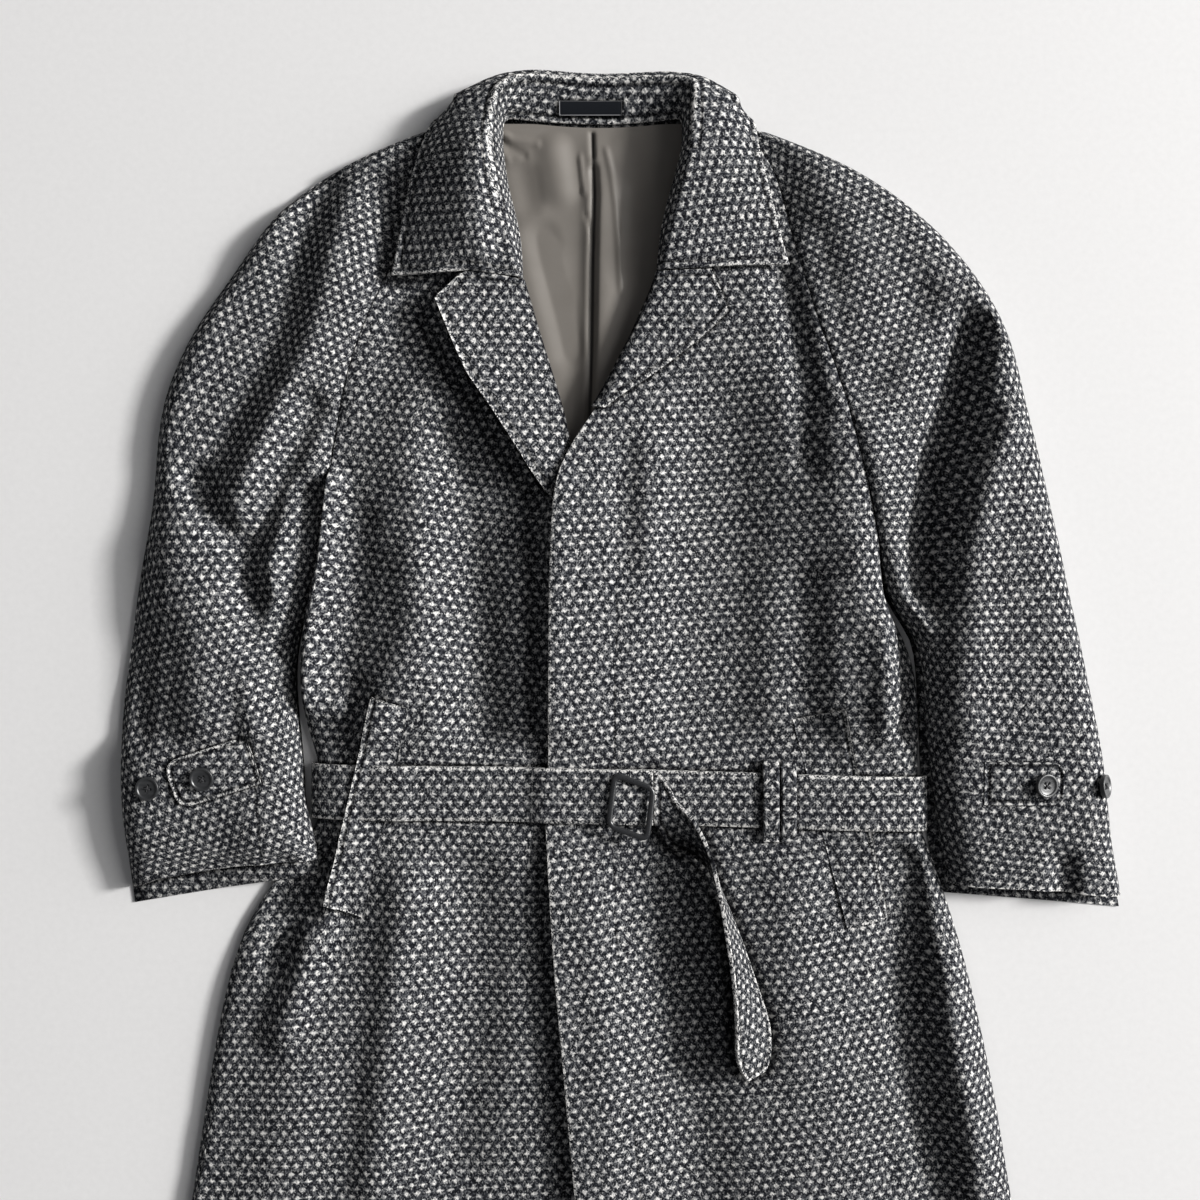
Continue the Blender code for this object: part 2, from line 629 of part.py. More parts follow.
def make_sleeves(side):
    table = SLEEVES[side]
    rows = upper_rows() + even_rows(ARMPIT, table[-1].y, SLEEVE_ROW)[1:]
    slant = CUFF_SLANT[side]

    def floor_of(x, y):
        return bed(side, x, y)

    def cuff_y(y, share):
        down = soft_step((CUFF_SLANT_TOP - y) / (CUFF_SLANT_TOP - table[-1].y))
        return y + slant * (2 * share - 1) * down

    front = []
    back = []
    for y in rows:
        outer, inner = sleeve_span(side, y)
        front.append([])
        for share in eased(SLEEVE_COLUMNS):
            x = mix(outer, inner, share)
            front[-1].append(Vector((x, cuff_y(y, share), sleeve_height(side, x, y))))
        low = CUFF_TURN * soft_step((CUFF_SLANT_TOP - y) / (CUFF_SLANT_TOP - table[-1].y))
        back.append([])
        for k in range(SLEEVE_BACK_COLUMNS + 1):
            share = k / SLEEVE_BACK_COLUMNS
            x = mix(outer, inner, share)
            back[-1].append(Vector((x, cuff_y(y, share) - low, bed(side, x, y))))
    shell(f"sleeve_front_{side}", front, cloth_below(front, CLOTH, floor_of), TWEED)
    upper = [[point + Vector((0, 0, CLOTH)) for point in row] for row in back]
    shell(f"sleeve_back_{side}", upper, back, TWEED)


def make_back():
    lower = []
    for y in body_rows():
        row = table_row(BODY, y)
        shares = [k / BACK_COLUMNS for k in range(BACK_COLUMNS + 1)]
        xs = [mix(row.left + SEAM / 2, row.right - SEAM / 2, share) for share in shares]
        lower.append([Vector((x, y, bed("body", x, y))) for x in xs])
    upper = [[point + Vector((0, 0, CLOTH)) for point in row] for row in lower]
    shell("back", upper, lower, TWEED)


def make_lining():
    grid = []
    for y in [LINING["top"]] + [y for y in upper_rows() if y >= LINING["foot"]]:
        grid.append([])
        for k in range(LINING_COLUMNS + 1):
            x = mix(LINING["x_min"], LINING["x_max"], k / LINING_COLUMNS)
            rest = bed("body", x, y) + FLOOR_SEAM + LINING_CLOTH + SEAM
            loose = soft_step((LINING["top"] - y) / 25)
            edge = LINING["top_curve"] * clamp((x / LINING["curve_at"]) ** 2) if y == LINING["top"] else 0
            grid[-1].append(Vector((x, y + edge, rest + fold_height(LINING_FOLDS, x, y) * loose)))
    lower = [[point - Vector((0, 0, LINING_CLOTH)) for point in row] for row in grid]
    shell("lining", grid, lower, LINING_SATIN)


def wall_about(name, middle, thickness, finish, floor=0.0):
    """A closed wall around a middle surface, half its thickness to each side."""
    half = thickness / 2
    normals = grid_normals(middle)
    upper = []
    lower = []
    for points, row_normals in zip(middle, normals):
        upper.append([point + normal * half for point, normal in zip(points, row_normals)])
        lower.append([point - normal * half for point, normal in zip(points, row_normals)])
    for row in upper + lower:
        for point in row:
            point.z = max(point.z, floor)
    return shell(name, upper, lower, finish)


def make_collar():
    corners = []
    for row in COLLAR:
        values = [Vector(row[k:k + 3]) for k in range(0, 12, 3)]
        neck, crest, middle, edge = values
        rise = mix(neck, crest, COLLAR_RISE_AT) + (crest - middle).normalized() * COLLAR_RISE
        brow = mix(crest, middle, COLLAR_BROW_AT) + Vector((0, 0, COLLAR_BROW))
        tuck = mix(middle, edge, COLLAR_TUCK_AT)
        if edge.z < COLLAR_CLOTH:
            tuck.z = mix(middle.z, edge.z, COLLAR_TUCK_DROP)
        corners.append([neck, rise, crest, brow, middle, tuck, edge])
    sections = [curve_points(row, COLLAR_COLUMNS) for row in corners]
    lines = [curve_points(list(line), COLLAR_ROWS) for line in zip(*sections)]
    middle = [list(row) for row in zip(*lines)]
    floor_z = COLLAR_CLOTH / 2 + 0.2
    for line in middle:
        for point in line:
            point.z = max(point.z, floor_z)
    wall_about("collar", middle, COLLAR_CLOTH, TWEED, floor=0.1)


def make_lapel(side):
    height = over_height if side == "left" else under_height
    half = LAPEL_CLOTH / 2
    table = LAPELS[side]
    middle = []
    for k in range(2 * len(table) - 1):
        first, second = table[k // 2], table[(k + 1) // 2]
        row = Lapel(*[mix(a, b, 0.5) for a, b in zip(first, second)])
        roll = Vector((row.roll_x, row.roll_y))
        edge = Vector((row.edge_x, row.edge_y))
        reach = (edge - roll).length
        out = (edge - roll) / reach
        bend = row.nose - half
        seam = roll + out * (row.nose + LAPEL_SEAM)
        foot = height(seam.x, seam.y) - CLOTH
        line = []
        for angle in (-90, -135, 180, 135, 90):
            turn = math.radians(angle)
            q = row.nose + bend * math.cos(turn)
            line.append((q, foot + row.nose + bend * math.sin(turn)))
        end_z = height(edge.x, edge.y) + row.lift + half
        for share in (0.25, 0.5, 0.75, 1.0):
            q = mix(row.nose, reach, share)
            line.append((q, mix(line[4][1], end_z, share) + LAPEL_BULGE * math.sin(math.pi * share)))
        middle.append([Vector((*(roll + out * q), z)) for q, z in line])
    wall_about(f"lapel_{side}", middle, LAPEL_CLOTH, TWEED)


def on_top(names, x, y, reach=0.0):
    """The highest point of the named pieces around a place on the plan."""
    best = -1000.0
    steps = (0.0,) if reach == 0 else (-reach, -reach / 2, 0.0, reach / 2, reach)
    for dx in steps:
        for dy in steps:
            for name in names:
                hit = surfaces[name].ray_cast(Vector((x + dx, y + dy, 300)), Vector((0, 0, -1)))[0]
                if hit:
                    best = max(best, hit.z)
    return best


def patch_on(name, names, plan, thickness, finish, reach):
    """A flat piece laid on a panel: the panel's points moved out."""
    lower = [[Vector((x, y, on_top(names, x, y, reach) + PATCH_GAP)) for x, y in row] for row in plan]
    upper = [[point + Vector((0, 0, thickness)) for point in row] for row in lower]
    return shell(name, upper, lower, finish)


def make_welt(side):
    patch = WELTS[side]
    plan = []
    for k in range(WELT_ROWS + 1):
        share = k / WELT_ROWS
        outer = mix(Vector(patch.outer_top), Vector(patch.outer_foot), share)
        inner = mix(Vector(patch.inner_top), Vector(patch.inner_foot), share)
        plan.append([tuple(mix(outer, inner, m / 3)) for m in range(4)])
    patch_on(f"pocket_welt_{side}", [f"front_{side}"], plan, CLOTH, TWEED, WELT_PROBE)


def make_tab(side):
    tab = TABS[side]
    base = Vector((tab.base_x, tab.base_y))
    run = Vector((tab.end_x, tab.end_y)) - base
    across = Vector((-run.y, run.x)).normalized() * tab.half_width
    plan = []
    for share in TAB_SHARES:
        corner = clamp((share - TAB_ROUND) / (1 - TAB_ROUND))
        width = mix(TAB_TIP, 1.0, math.sqrt(1 - corner * corner))
        plan.append([tuple(base + run * share + across * width * (k / 3 - 1)) for k in range(7)])
    patch_on(f"cuff_tab_{side}", [f"sleeve_front_{side}"], plan, TAB_CLOTH, TWEED, TAB_PROBE)


def make_button(button):
    side = "right" if button.x < 0 else "left"
    under = [f"sleeve_front_{side}", f"cuff_tab_{side}"]
    probe = BUTTON_RADIUS * 0.9
    slope_x = on_top(under, button.x + probe, button.y) - on_top(under, button.x - probe, button.y)
    slope_y = on_top(under, button.x, button.y + probe) - on_top(under, button.x, button.y - probe)
    normal = Vector((-slope_x, -slope_y, 2 * probe)).normalized()
    centre = Vector((button.x, button.y, on_top(under, button.x, button.y)))
    turned = normal.to_track_quat("Z", "Y").to_matrix()
    proud = 0.0
    for k in range(24):
        turn = 2 * math.pi * k / 24
        for share in BUTTON_PROBES:
            radius = BUTTON_RADIUS * share
            spot = turned @ Vector((radius * math.cos(turn), radius * math.sin(turn), 0))
            cloth = Vector((centre.x + spot.x, centre.y + spot.y, 0))
            cloth.z = on_top(under, cloth.x, cloth.y)
            proud = max(proud, (cloth - centre).dot(normal))
    bm = bmesh.new()
    rings = []
    for share, level in BUTTON_PROFILE:
        ring = []
        for k in range(BUTTON_SIDES):
            turn = 2 * math.pi * k / BUTTON_SIDES
            radius = BUTTON_RADIUS * share
            spot = (radius * math.cos(turn), radius * math.sin(turn), BUTTON_HEIGHT * level)
            ring.append(bm.verts.new(spot))
        rings.append(ring)
    for low, high in zip(rings, rings[1:]):
        for k in range(BUTTON_SIDES):
            bm.faces.new((low[k], low[(k + 1) % BUTTON_SIDES], high[(k + 1) % BUTTON_SIDES], high[k]))
    bm.faces.new(rings[0])
    bm.faces.new(rings[-1])
    seat = centre + normal * (proud + SEAM)
    place = Matrix.Translation(seat * MM) @ turned.to_4x4()
    add_object(button.name, bm, HORN, place)


def belt_y(x):
    return table_row(BELT_LINE, x).y


def belt_rest(names, x):
    """Underside of the belt over what it crosses, kept level across its width."""
    y = belt_y(x)
    half = BELT_WIDTH / 2
    spots = [y + half * k / 4 for k in (-4.2, -3, -2, -1, 0, 1, 2, 3, 4.2)]
    steps = (-12, -8, -4, 0, 4, 8, 12)
    return max(on_top(names, x + dx, spot) for spot in spots for dx in steps) + PATCH_GAP


def strap(name, path, thickness=BELT_CLOTH):
    """A belt's run along a path of (x, y, z) points on its middle, level across its width."""
    half = Vector((0, BELT_WIDTH / 2, 0))
    middle = [[point - half, point - half * 0.4, point + half * 0.4, point + half] for point in path]
    return wall_about(name, middle, thickness, TWEED)


def belt_round(side_x, sign, top):
    """The belt's turn round the coat's side, from the front down to the surface."""
    out = side_x + sign * (PATCH_GAP + SEAM + BELT_CLOTH / 2)
    bulge = out + sign * 1.2
    spots = [(out - sign * 3, top), (bulge, top * 0.66), (bulge, top * 0.33), (out + sign * 0.6, 0)]
    return [Vector((x, belt_y(x), z)) for x, z in spots]


def make_belt():
    fronts = ["front_left", "front_right", "pocket_welt_left", "pocket_welt_right"]
    half = BELT_CLOTH / 2
    band = [table_row(BODY, y) for y in range(-37, 30, 3)]
    left_x = min(row.left for row in band[4:])
    right_x = max(row.right for row in band)

    def run(names, xs):
        return [Vector((x, belt_y(x), belt_rest(names, x) + half)) for x in xs]

    xs = [mix(BELT_FIXED_END, right_x - 14, k / 22) for k in range(23)]
    path = run(fronts, xs)
    path += belt_round(right_x, 1, path[-1].z - 5)
    strap("belt_left", path)

    xs = [mix(left_x + 14, BELT_END, k / 26) for k in range(27)]
    path = run(fronts + ["belt_left"], xs)
    path = belt_round(left_x, -1, path[0].z - 5)[::-1] + path
    strap("belt_right", path)

    spots = [mix(left_x - SEAM, right_x + SEAM, k / 8) for k in range(9)]
    level = BELT_UNDER_CLOTH / 2
    strap("belt_under", [Vector((x, belt_y(x), level)) for x in spots], BELT_UNDER_CLOTH)


def make_tail():
    points = [[Vector(row[:3]), Vector(row[3:])] for row in TAIL]
    fronts = ["front_left", "front_right"]
    for pair in points:
        rest = on_top(fronts, pair[1].x, pair[1].y, 4)
        for point in pair:
            point.z += rest
    ends = [Vector((BELT_END + 0.7, belt_y(BELT_END) + s * BELT_WIDTH / 2, 0)) for s in (1, -1)]
    for end in ends:
        end.z = on_top(["belt_right"], BELT_END - 1, belt_y(BELT_END)) - BELT_CLOTH / 2
    points = [ends] + points
    far = curve_points([pair[0] for pair in points], TAIL_ROWS)
    near = curve_points([pair[1] for pair in points], TAIL_ROWS)
    middle = [[mix(a, b, share) for share in (0, 0.33, 0.67, 1)] for a, b in zip(far, near)]
    wall_about("belt_tail", middle, BELT_CLOTH, TWEED)


def make_loop(strip):
    fronts = ["front_left", "belt_left"]
    x = (strip.x_min + strip.x_max) / 2
    half = BELT_WIDTH / 2
    y = belt_y(x)
    upper_half = [half + 13, half + 8, half + 2.2, half * 0.5]
    offsets = upper_half + [0] + [-offset for offset in reversed(upper_half)]
    plan = [[(mix(strip.x_min, strip.x_max, k / 3), y + offset) for k in range(4)] for offset in offsets]
    lower = []
    for row in plan:
        level = max(on_top(fronts, px, py, 4) for px, py in row) + SEAM
        lower.append([Vector((px, py, level)) for px, py in row])
    upper = [[point + Vector((0, 0, LOOP_CLOTH)) for point in row] for row in lower]
    shell(strip.name, upper, lower, TWEED)


def rounded_frame(width, length, corner, count):
    """Points round a rectangle with round corners."""
    points = []
    for sx, sy, start in ((1, 1, 0), (-1, 1, 90), (-1, -1, 180), (1, -1, 270)):
        for k in range(count + 1):
            turn = math.radians(start + 90 * k / count)
            x = sx * (width / 2 - corner) + corner * math.cos(turn)
            y = sy * (length / 2 - corner) + corner * math.sin(turn)
            points.append((x, y))
    return points


def make_buckle():
    under = ["belt_right", "belt_left", "front_left", "front_right"]
    level = max(
        on_top(under, BUCKLE_AT[0] + dx, BUCKLE_AT[1] + dy)
        for dx in range(-BUCKLE_PROBE_X, BUCKLE_PROBE_X + 1, 4)
        for dy in range(-BUCKLE_PROBE_Y, BUCKLE_PROBE_Y + 1, 4)
    )
    bm = bmesh.new()
    bevel = BUCKLE_BEVEL
    lean = math.sin(BUCKLE_SKEW)
    outlines = []
    for inset, z in (
        (bevel, 0), (0, bevel), (0, BUCKLE_HEIGHT - bevel), (bevel, BUCKLE_HEIGHT),
        (BUCKLE_BAR - bevel, BUCKLE_HEIGHT), (BUCKLE_BAR, BUCKLE_HEIGHT - bevel), (BUCKLE_BAR, bevel),
        (BUCKLE_BAR - bevel, 0),
    ):
        corner = BUCKLE_CORNER - inset
        outline = rounded_frame(BUCKLE_WIDTH - 2 * inset, BUCKLE_LENGTH - 2 * inset, corner, 4)
        outlines.append([bm.verts.new((x - y * lean, y * math.cos(BUCKLE_SKEW), z)) for x, y in outline])
    for low, high in zip(outlines, outlines[1:] + outlines[:1]):
        count = len(low)
        for k in range(count):
            bm.faces.new((low[k], low[(k + 1) % count], high[(k + 1) % count], high[k]))
    seat = Vector((*BUCKLE_AT, level + SEAM)) * MM
    add_object("buckle", bm, BUCKLE_COVER, Matrix.Translation(seat) @ Matrix.Rotation(BUCKLE_TURN, 4, "Z"))


def make_label():
    plan = []
    for k in range(3):
        y = mix(LABEL["y_max"], LABEL["y_min"], k / 2)
        plan.append([(mix(LABEL["x_min"], LABEL["x_max"], m / 8), y) for m in range(9)])
    patch_on("label", ["collar"], plan, LABEL_CLOTH, LABEL_WEAVE, LABEL_PROBE)


def main():
    for old in list(bpy.data.objects):
        bpy.data.objects.remove(old, do_unlink=True)
    make_back()
    make_fronts()
    for side in SLEEVES:
        make_sleeves(side)
    make_lining()
    make_collar()
    make_label()
    for side in LAPELS:
        make_lapel(side)
        make_welt(side)
    for side in TABS:
        make_tab(side)
    for button in BUTTONS:
        make_button(button)
    make_belt()
    for strip in LOOPS:
        make_loop(strip)
    make_buckle()
    make_tail()


main()
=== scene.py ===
"""Looks of a belted balmacaan coat that lies face up on a pale surface.

Each cloth piece is a thin shell on its solid's form, with the creases placed as soft troughs and
ridges. Buttons, thread and buckle are modelled on their own. Tables are in millimetres, meshes in metres.
"""
import math
from collections import namedtuple

import bpy
import numpy as np
from mathutils import Matrix, Vector
from mathutils.kdtree import KDTree


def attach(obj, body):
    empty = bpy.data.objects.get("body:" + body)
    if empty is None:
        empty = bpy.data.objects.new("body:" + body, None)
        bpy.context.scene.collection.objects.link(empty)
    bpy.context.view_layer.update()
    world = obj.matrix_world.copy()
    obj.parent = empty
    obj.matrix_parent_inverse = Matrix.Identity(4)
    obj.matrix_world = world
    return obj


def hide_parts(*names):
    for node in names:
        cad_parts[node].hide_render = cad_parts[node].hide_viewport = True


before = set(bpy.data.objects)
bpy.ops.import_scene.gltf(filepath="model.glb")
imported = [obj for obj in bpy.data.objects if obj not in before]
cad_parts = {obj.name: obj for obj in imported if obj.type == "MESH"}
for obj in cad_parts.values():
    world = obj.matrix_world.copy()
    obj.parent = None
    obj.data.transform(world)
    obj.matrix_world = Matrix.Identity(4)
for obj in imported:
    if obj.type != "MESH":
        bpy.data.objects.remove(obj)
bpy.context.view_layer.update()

MM = 0.001
BODY = "root"

# Camera straight above the coat
PHOTO_SIDE = 1140.0       # what the picture's side covers, at the height of the cloth
PHOTO_CENTRE = (0.0, 183.0)
CLOTH_LEVEL = 15.0
CAMERA_HEIGHT = 1385.0
CAMERA_REACH = 40         # metres

FLOOR_SIZE = 16           # metres
FLOOR_LEVEL = -0.0004     # just under the coat

# Soft light from the right, with a brighter window in it
Light = namedtuple("Light", "name place size watts colour")
LIGHTS = [
    Light("window", (11.5, 2.8, 6.3), 2.2, 2190, (1.0, 0.99, 0.975)),
    Light("bright_wall", (10.0, 2.4, 6.0), 10.0, 1060, (1.0, 0.995, 0.985)),
]
LIGHT_AIM = (0.0, 0.15, 0.0)
ROOM_COLOUR = (0.96, 0.97, 1.0, 1)
ROOM_STRENGTH = 0.125

# Cloth pieces: levels of subdivision, then the cut's width, length and area
MERGE = 1e-6
QUAD_ANGLE = math.radians(70)
RIM_ANGLE = math.radians(58)
Cloth = namedtuple("Cloth", "node layer levels width length area held rests_on")
CLOTHS = [
    Cloth("back", "under", 1, 0.83, 1.155, 0.66, "laid", []),
    Cloth("front_left", "body", 3, 0.43, 1.13, 0.35, "laid", ["back"]),
    Cloth("front_right", "body", 3, 0.47, 1.13, 0.34, "laid", ["back"]),
    Cloth("sleeve_back_left", "under", 1, 0.22, 0.75, 0.12, "laid", []),
    Cloth("sleeve_back_right", "under", 1, 0.24, 0.75, 0.12, "laid", []),
    Cloth("sleeve_front_left", "body", 3, 0.24, 0.75, 0.13, "laid", ["sleeve_back_left"]),
    Cloth("sleeve_front_right", "body", 3, 0.24, 0.75, 0.13, "laid", ["sleeve_back_right"]),
    Cloth(
        "collar", "collar", 3, 0.16, 0.60, 0.07, "folded",
        ["sleeve_front_left", "sleeve_front_right", "back"],
    ),
    Cloth("label", "label", 2, 0.06, 0.013, 0.00078, "laid", ["collar"]),
    Cloth("lapel_left", "lapel", 3, 0.11, 0.15, 0.009, "folded", ["front_left"]),
    Cloth("lapel_right", "lapel", 3, 0.12, 0.25, 0.02, "folded", ["front_right"]),
    Cloth("pocket_welt_left", "patch", 3, 0.05, 0.21, 0.0098, "laid", ["front_left"]),
    Cloth("pocket_welt_right", "patch", 3, 0.04, 0.21, 0.0075, "laid", ["front_right"]),
    Cloth("cuff_tab_left", "patch", 3, 0.045, 0.08, 0.0033, "laid", ["sleeve_front_left"]),
    Cloth("cuff_tab_right", "patch", 3, 0.05, 0.085, 0.004, "laid", ["sleeve_front_right"]),
    Cloth("belt_left", "belt", 3, 0.052, 0.33, 0.0165, "laid", ["front_left"]),
    Cloth("belt_right", "belt", 3, 0.052, 0.37, 0.019, "laid", ["front_right"]),
    Cloth("belt_under", "under", 1, 0.052, 0.55, 0.0275, "laid", []),
    Cloth("belt_tail", "tail", 3, 0.052, 0.30, 0.0135, "laid", ["front_left"]),
    Cloth("belt_loop", "belt", 3, 0.016, 0.085, 0.00125, "laid", ["belt_left"]),
    Cloth("belt_keeper", "belt", 3, 0.0145, 0.085, 0.00115, "laid", ["belt_left"]),
    Cloth("lining", "lining", 3, 0.226, 0.345, 0.077, "laid", ["back"]),
]

# Faces of a solid under this share of its largest one are its cut edges
MAIN_FACE = 0.2
# Rows of the weave rise to the +X side by this slope, at these heights on the plan
Grain = namedtuple("Grain", "y slope")
GRAINS = {
    "front_left": [Grain(450, 0.09), Grain(100, 0.09), Grain(-200, 0.15)],
    "front_right": [Grain(450, -0.15), Grain(100, -0.14), Grain(-200, 0.06)],
    "sleeve_front_right": [Grain(560, -0.42), Grain(420, -0.30), Grain(150, 0.15), Grain(-60, 0.27)],
    "sleeve_front_left": [Grain(560, 0.40), Grain(420, 0.23), Grain(150, 0.02), Grain(-60, -0.12)],
}
GRAIN_SPAN = (-0.6, 0.7, 200)       # from below the hem to above the collar, in metres, and its steps

# Creases over those of the solids: height of a ridge or depth of a trough, half its width, and its run
Crease = namedtuple("Crease", "height half_width run")
CREASES = [
    # the wearer's right sleeve
    Crease(-10, 21, ((-266, 575), (-280, 511), (-295, 435), (-334, 359), (-370, 290))),
    Crease(5, 22, ((-216, 470), (-224, 430), (-238, 373))),
    Crease(-14, 16, ((-276, 366), (-298, 312), (-324, 240))),
    Crease(-14, 15, ((-384, 299), (-367, 269), (-334, 221), (-325, 185))),
    Crease(4, 22, ((-396, 240), (-380, 164), (-374, 69))),
    Crease(-12, 19, ((-333, 193), (-318, 145), (-306, 98))),
    Crease(-8, 14, ((-428, 210), (-433, 126), (-438, 40))),
    Crease(6, 13, ((-322, 115), (-322, 60))),
    Crease(-8, 44, ((-345, 480), (-388, 380), (-414, 250), (-424, 120), (-424, 40))),
    Crease(-5, 36, ((-424, 130), (-424, 40))),
    # the wearer's left sleeve
    Crease(-21, 18, ((350, 440), (338, 380), (318, 310), (307, 250), (308, 195))),
    Crease(10, 18, ((380, 350), (358, 297), (342, 221))),
    Crease(6, 22, ((346, 180), (342, 120), (344, 60))),
    Crease(-10, 13, ((432, -45), (436, -70), (439, -105))),
    Crease(6, 14, ((190, 520), (205, 440), (225, 370))),
    Crease(-6, 14, ((165, 500), (184, 440), (192, 380), (196, 310))),
    Crease(-5, 18, ((300, 470), (275, 425), (262, 392))),
    # chest and waist
    Crease(-12, 28, ((-141, 330), (-127, 240), (-120, 88), (-118, 60))),
    Crease(6, 22, ((-175, 221), (-171, 164), (-199, 98), (-214, 64))),
    Crease(-6, 18, ((-228, 259), (-236, 164), (-250, 107))),
    Crease(-14, 50, ((112, 340), (110, 221), (102, 80))),
    Crease(12, 40, ((232, 330), (240, 221), (246, 90))),
    Crease(5, 30, ((-22, 280), (-20, 190), (-14, 70))),
    Crease(4, 18, ((52, 325), (52, 297), (43, 221))),
    Crease(-4, 15, ((22, 320), (23, 278), (28, 221))),
    Crease(-5, 22, ((190, 200), (190, 88))),
    Crease(5, 20, ((250, 230), (262, 150), (268, 90))),
    # skirt
    Crease(7, 26, ((-9, -102), (5, -216), (11, -387))),
    Crease(-6, 32, ((68, -159), (81, -254), (95, -387))),
    Crease(-12, 22, ((285, -75), (288, -159), (304, -273), (328, -387))),
    Crease(-12, 16, ((-296, -70), (-300, -120), (-306, -160))),
    Crease(5, 28, ((182, -85), (182, -160), (192, -250))),
    Crease(5, 16, ((331, -159), (337, -244), (356, -339))),
    Crease(7, 20, ((-182, -85), (-190, -159), (-201, -254), (-214, -368))),
    Crease(-8, 30, ((-124, -80), (-116, -140), (-124, -235), (-138, -339))),
    Crease(11, 18, ((-262, -85), (-264, -120), (-279, -165), (-299, -225))),
]
OWN_CREASES = {
    "front_right": [
        Crease(-10, 15, ((-163, 452), (-146, 415), (-122, 378), (-88, 326), (-64, 292))),
        Crease(-9, 24, ((-90, 318), (-82, 280), (-74, 240))),
        Crease(-10, 14, ((-60, 285), (-60, 200), (-60, 70))),
        Crease(-4, 9, ((-56, -50), (-46, -200), (-31, -360), (-20, -500))),
        Crease(20, 15, ((-257, 292), (-267, 235), (-272, 190), (-278, 140), (-280, 90))),
        Crease(-10, 12, ((-230, 100), (-238, 62))),
        Crease(-10, 12, ((-262, -62), (-274, -112))),
    ],
    "front_left": [
        Crease(-16, 11, ((292, 150), (290, 100), (291, 60))),
        Crease(5, 11, ((268, 200), (268, 120), (268, 50))),
        Crease(-2.5, 18, ((246, 190), (247, 60))),
        Crease(-16, 15, ((284, -62), (292, -130), (302, -180))),
    ],
    "sleeve_front_right": [
        Crease(7, 48, ((-312, 150), (-310, 60))),
        Crease(-15, 15, ((-273, 285), (-285, 235), (-290, 190), (-297, 140))),
        Crease(-5, 15, ((-200, 570), (-197, 520), (-190, 485))),
    ],
}
LINING_CREASES = [
    Crease(-1.6, 3.0, ((-8, 630), (-7, 606))),
    Crease(-4.2, 4.4, ((-6, 594), (-5, 570), (-7, 500), (-8, 420), (-11, 330))),
    Crease(1.5, 3.0, ((6, 612), (11, 590), (15, 560), (18, 520), (20, 480))),
    Crease(1.6, 2.6, ((-19, 606), (-17, 588), (-15, 572))),
    Crease(-1.2, 2.4, ((-14, 552), (-8, 535), (-5, 520))),
    Crease(-2.6, 12, ((-72, 588), (-70, 578), (-68, 564))),
    Crease(4.5, 14, ((-44, 612), (-40, 590), (-38, 575))),
    Crease(-3.0, 14, ((-56, 530), (-44, 480), (-30, 420))),
    Crease(1.8, 3.4, ((-96, 632), (-84, 622), (-60, 618))),
    Crease(-1.8, 3.2, ((-98, 624), (-86, 615), (-72, 607))),
    Crease(1.6, 3.4, ((-98, 614), (-88, 604))),
    Crease(-2.4, 14, ((30, 606), (34, 575), (32, 540))),
    Crease(5.5, 17, ((6, 570), (5, 500), (4, 430), (0, 350))),
]
LINING_CLOTH = 1.0
LINING_LOWEST = 4.6
LINING_TOP = 634.0      # the lining is held along the collar, and its creases fade out there
LINING_FADE = 8.0
CREASED = {"body": 0.0, "patch": 2.5, "tail": 10.0}    # layers that follow the creases, and their lift
BELT_BAND = (-4.0, 36.0, 30.0)      # middle, half width and fade of the strip that the belt presses flat
CREASE_FLOOR = 4.0                  # creases fade out where the cloth comes down to the surface
CREASE_FADE = 10.0
LOWEST = 2.2                        # the inner face stays over the back's cloth
LANDING = 6.0                       # over this height a trough eases towards the lowest level
CLOTH_WALL = 2.0
CREASE_SPREAD = 1.6                 # reach of a crease beside its run, in half widths
ROUNDING = 0.45                     # how far the cut edges are rounded, and from how far in
ROUNDING_REACH = 2.2

# Sewn lines on the plan, and how far in from its rim a piece is stitched; the finishes darken these lines
# with painted shade, the lining's line being its pleat
SEWN = {
    "front_left": [((17, 300), (16, 190), (13, 32)), ((12, -36), (16, -149), (26, -244), (52, -526))],
    "sleeve_front_right": [((-327, 62), (-322, 0), (-315, -80))],
    "lapel_left": [((80, 448), (86, 439))],
    "lining": [((-7, 628), (-6, 594), (-5, 570), (-7, 500), (-8, 420), (-11, 330))],
    "pocket_welt_left": [((224.5, 81), (270.5, -119))],
    "pocket_welt_right": [((-209.5, 93), (-255.5, -104))],
}
RIM_STITCH = {
    "collar": 6.5, "lapel_left": 6.0, "lapel_right": 6.0, "cuff_tab_left": 4.0, "cuff_tab_right": 4.0,
    "belt_tail": 5.0, "belt_left": 3.5, "belt_right": 3.5,
}
# A piece whose stitched rim gets no painted highlight
PLAIN_EDGES = ("cuff_tab_left",)
STITCH_DEPTH = 1.1
STITCH_REACH = 3.0
# Turned edges that get a painted highlight, for pieces whose highlight doesn't run along a stitched rim
EDGE_RUNS = {
    "front_left": [
        ((-13, 349), (-27, 331), (-38, 309), (-44, 283), (-46, 247), (-48, 193), (-49, 30)),
        ((-52, -36), (-49, -73), (-45, -149), (-36, -244), (-23, -387), (-10, -526)),
    ],
    "pocket_welt_left": [((182, 70), (229, 81), (275, -119), (234, -129))],
    "pocket_welt_right": [((-180, 81), (-214, 93), (-260, -104), (-223, -118))],
    "sleeve_front_right": [((-455, -98), (-414, -96), (-378, -89), (-341, -81), (-304, -77), (-267, -70))],
    "sleeve_front_left": [((333, -89), (399, -94), (465, -100), (498, -102))],
}
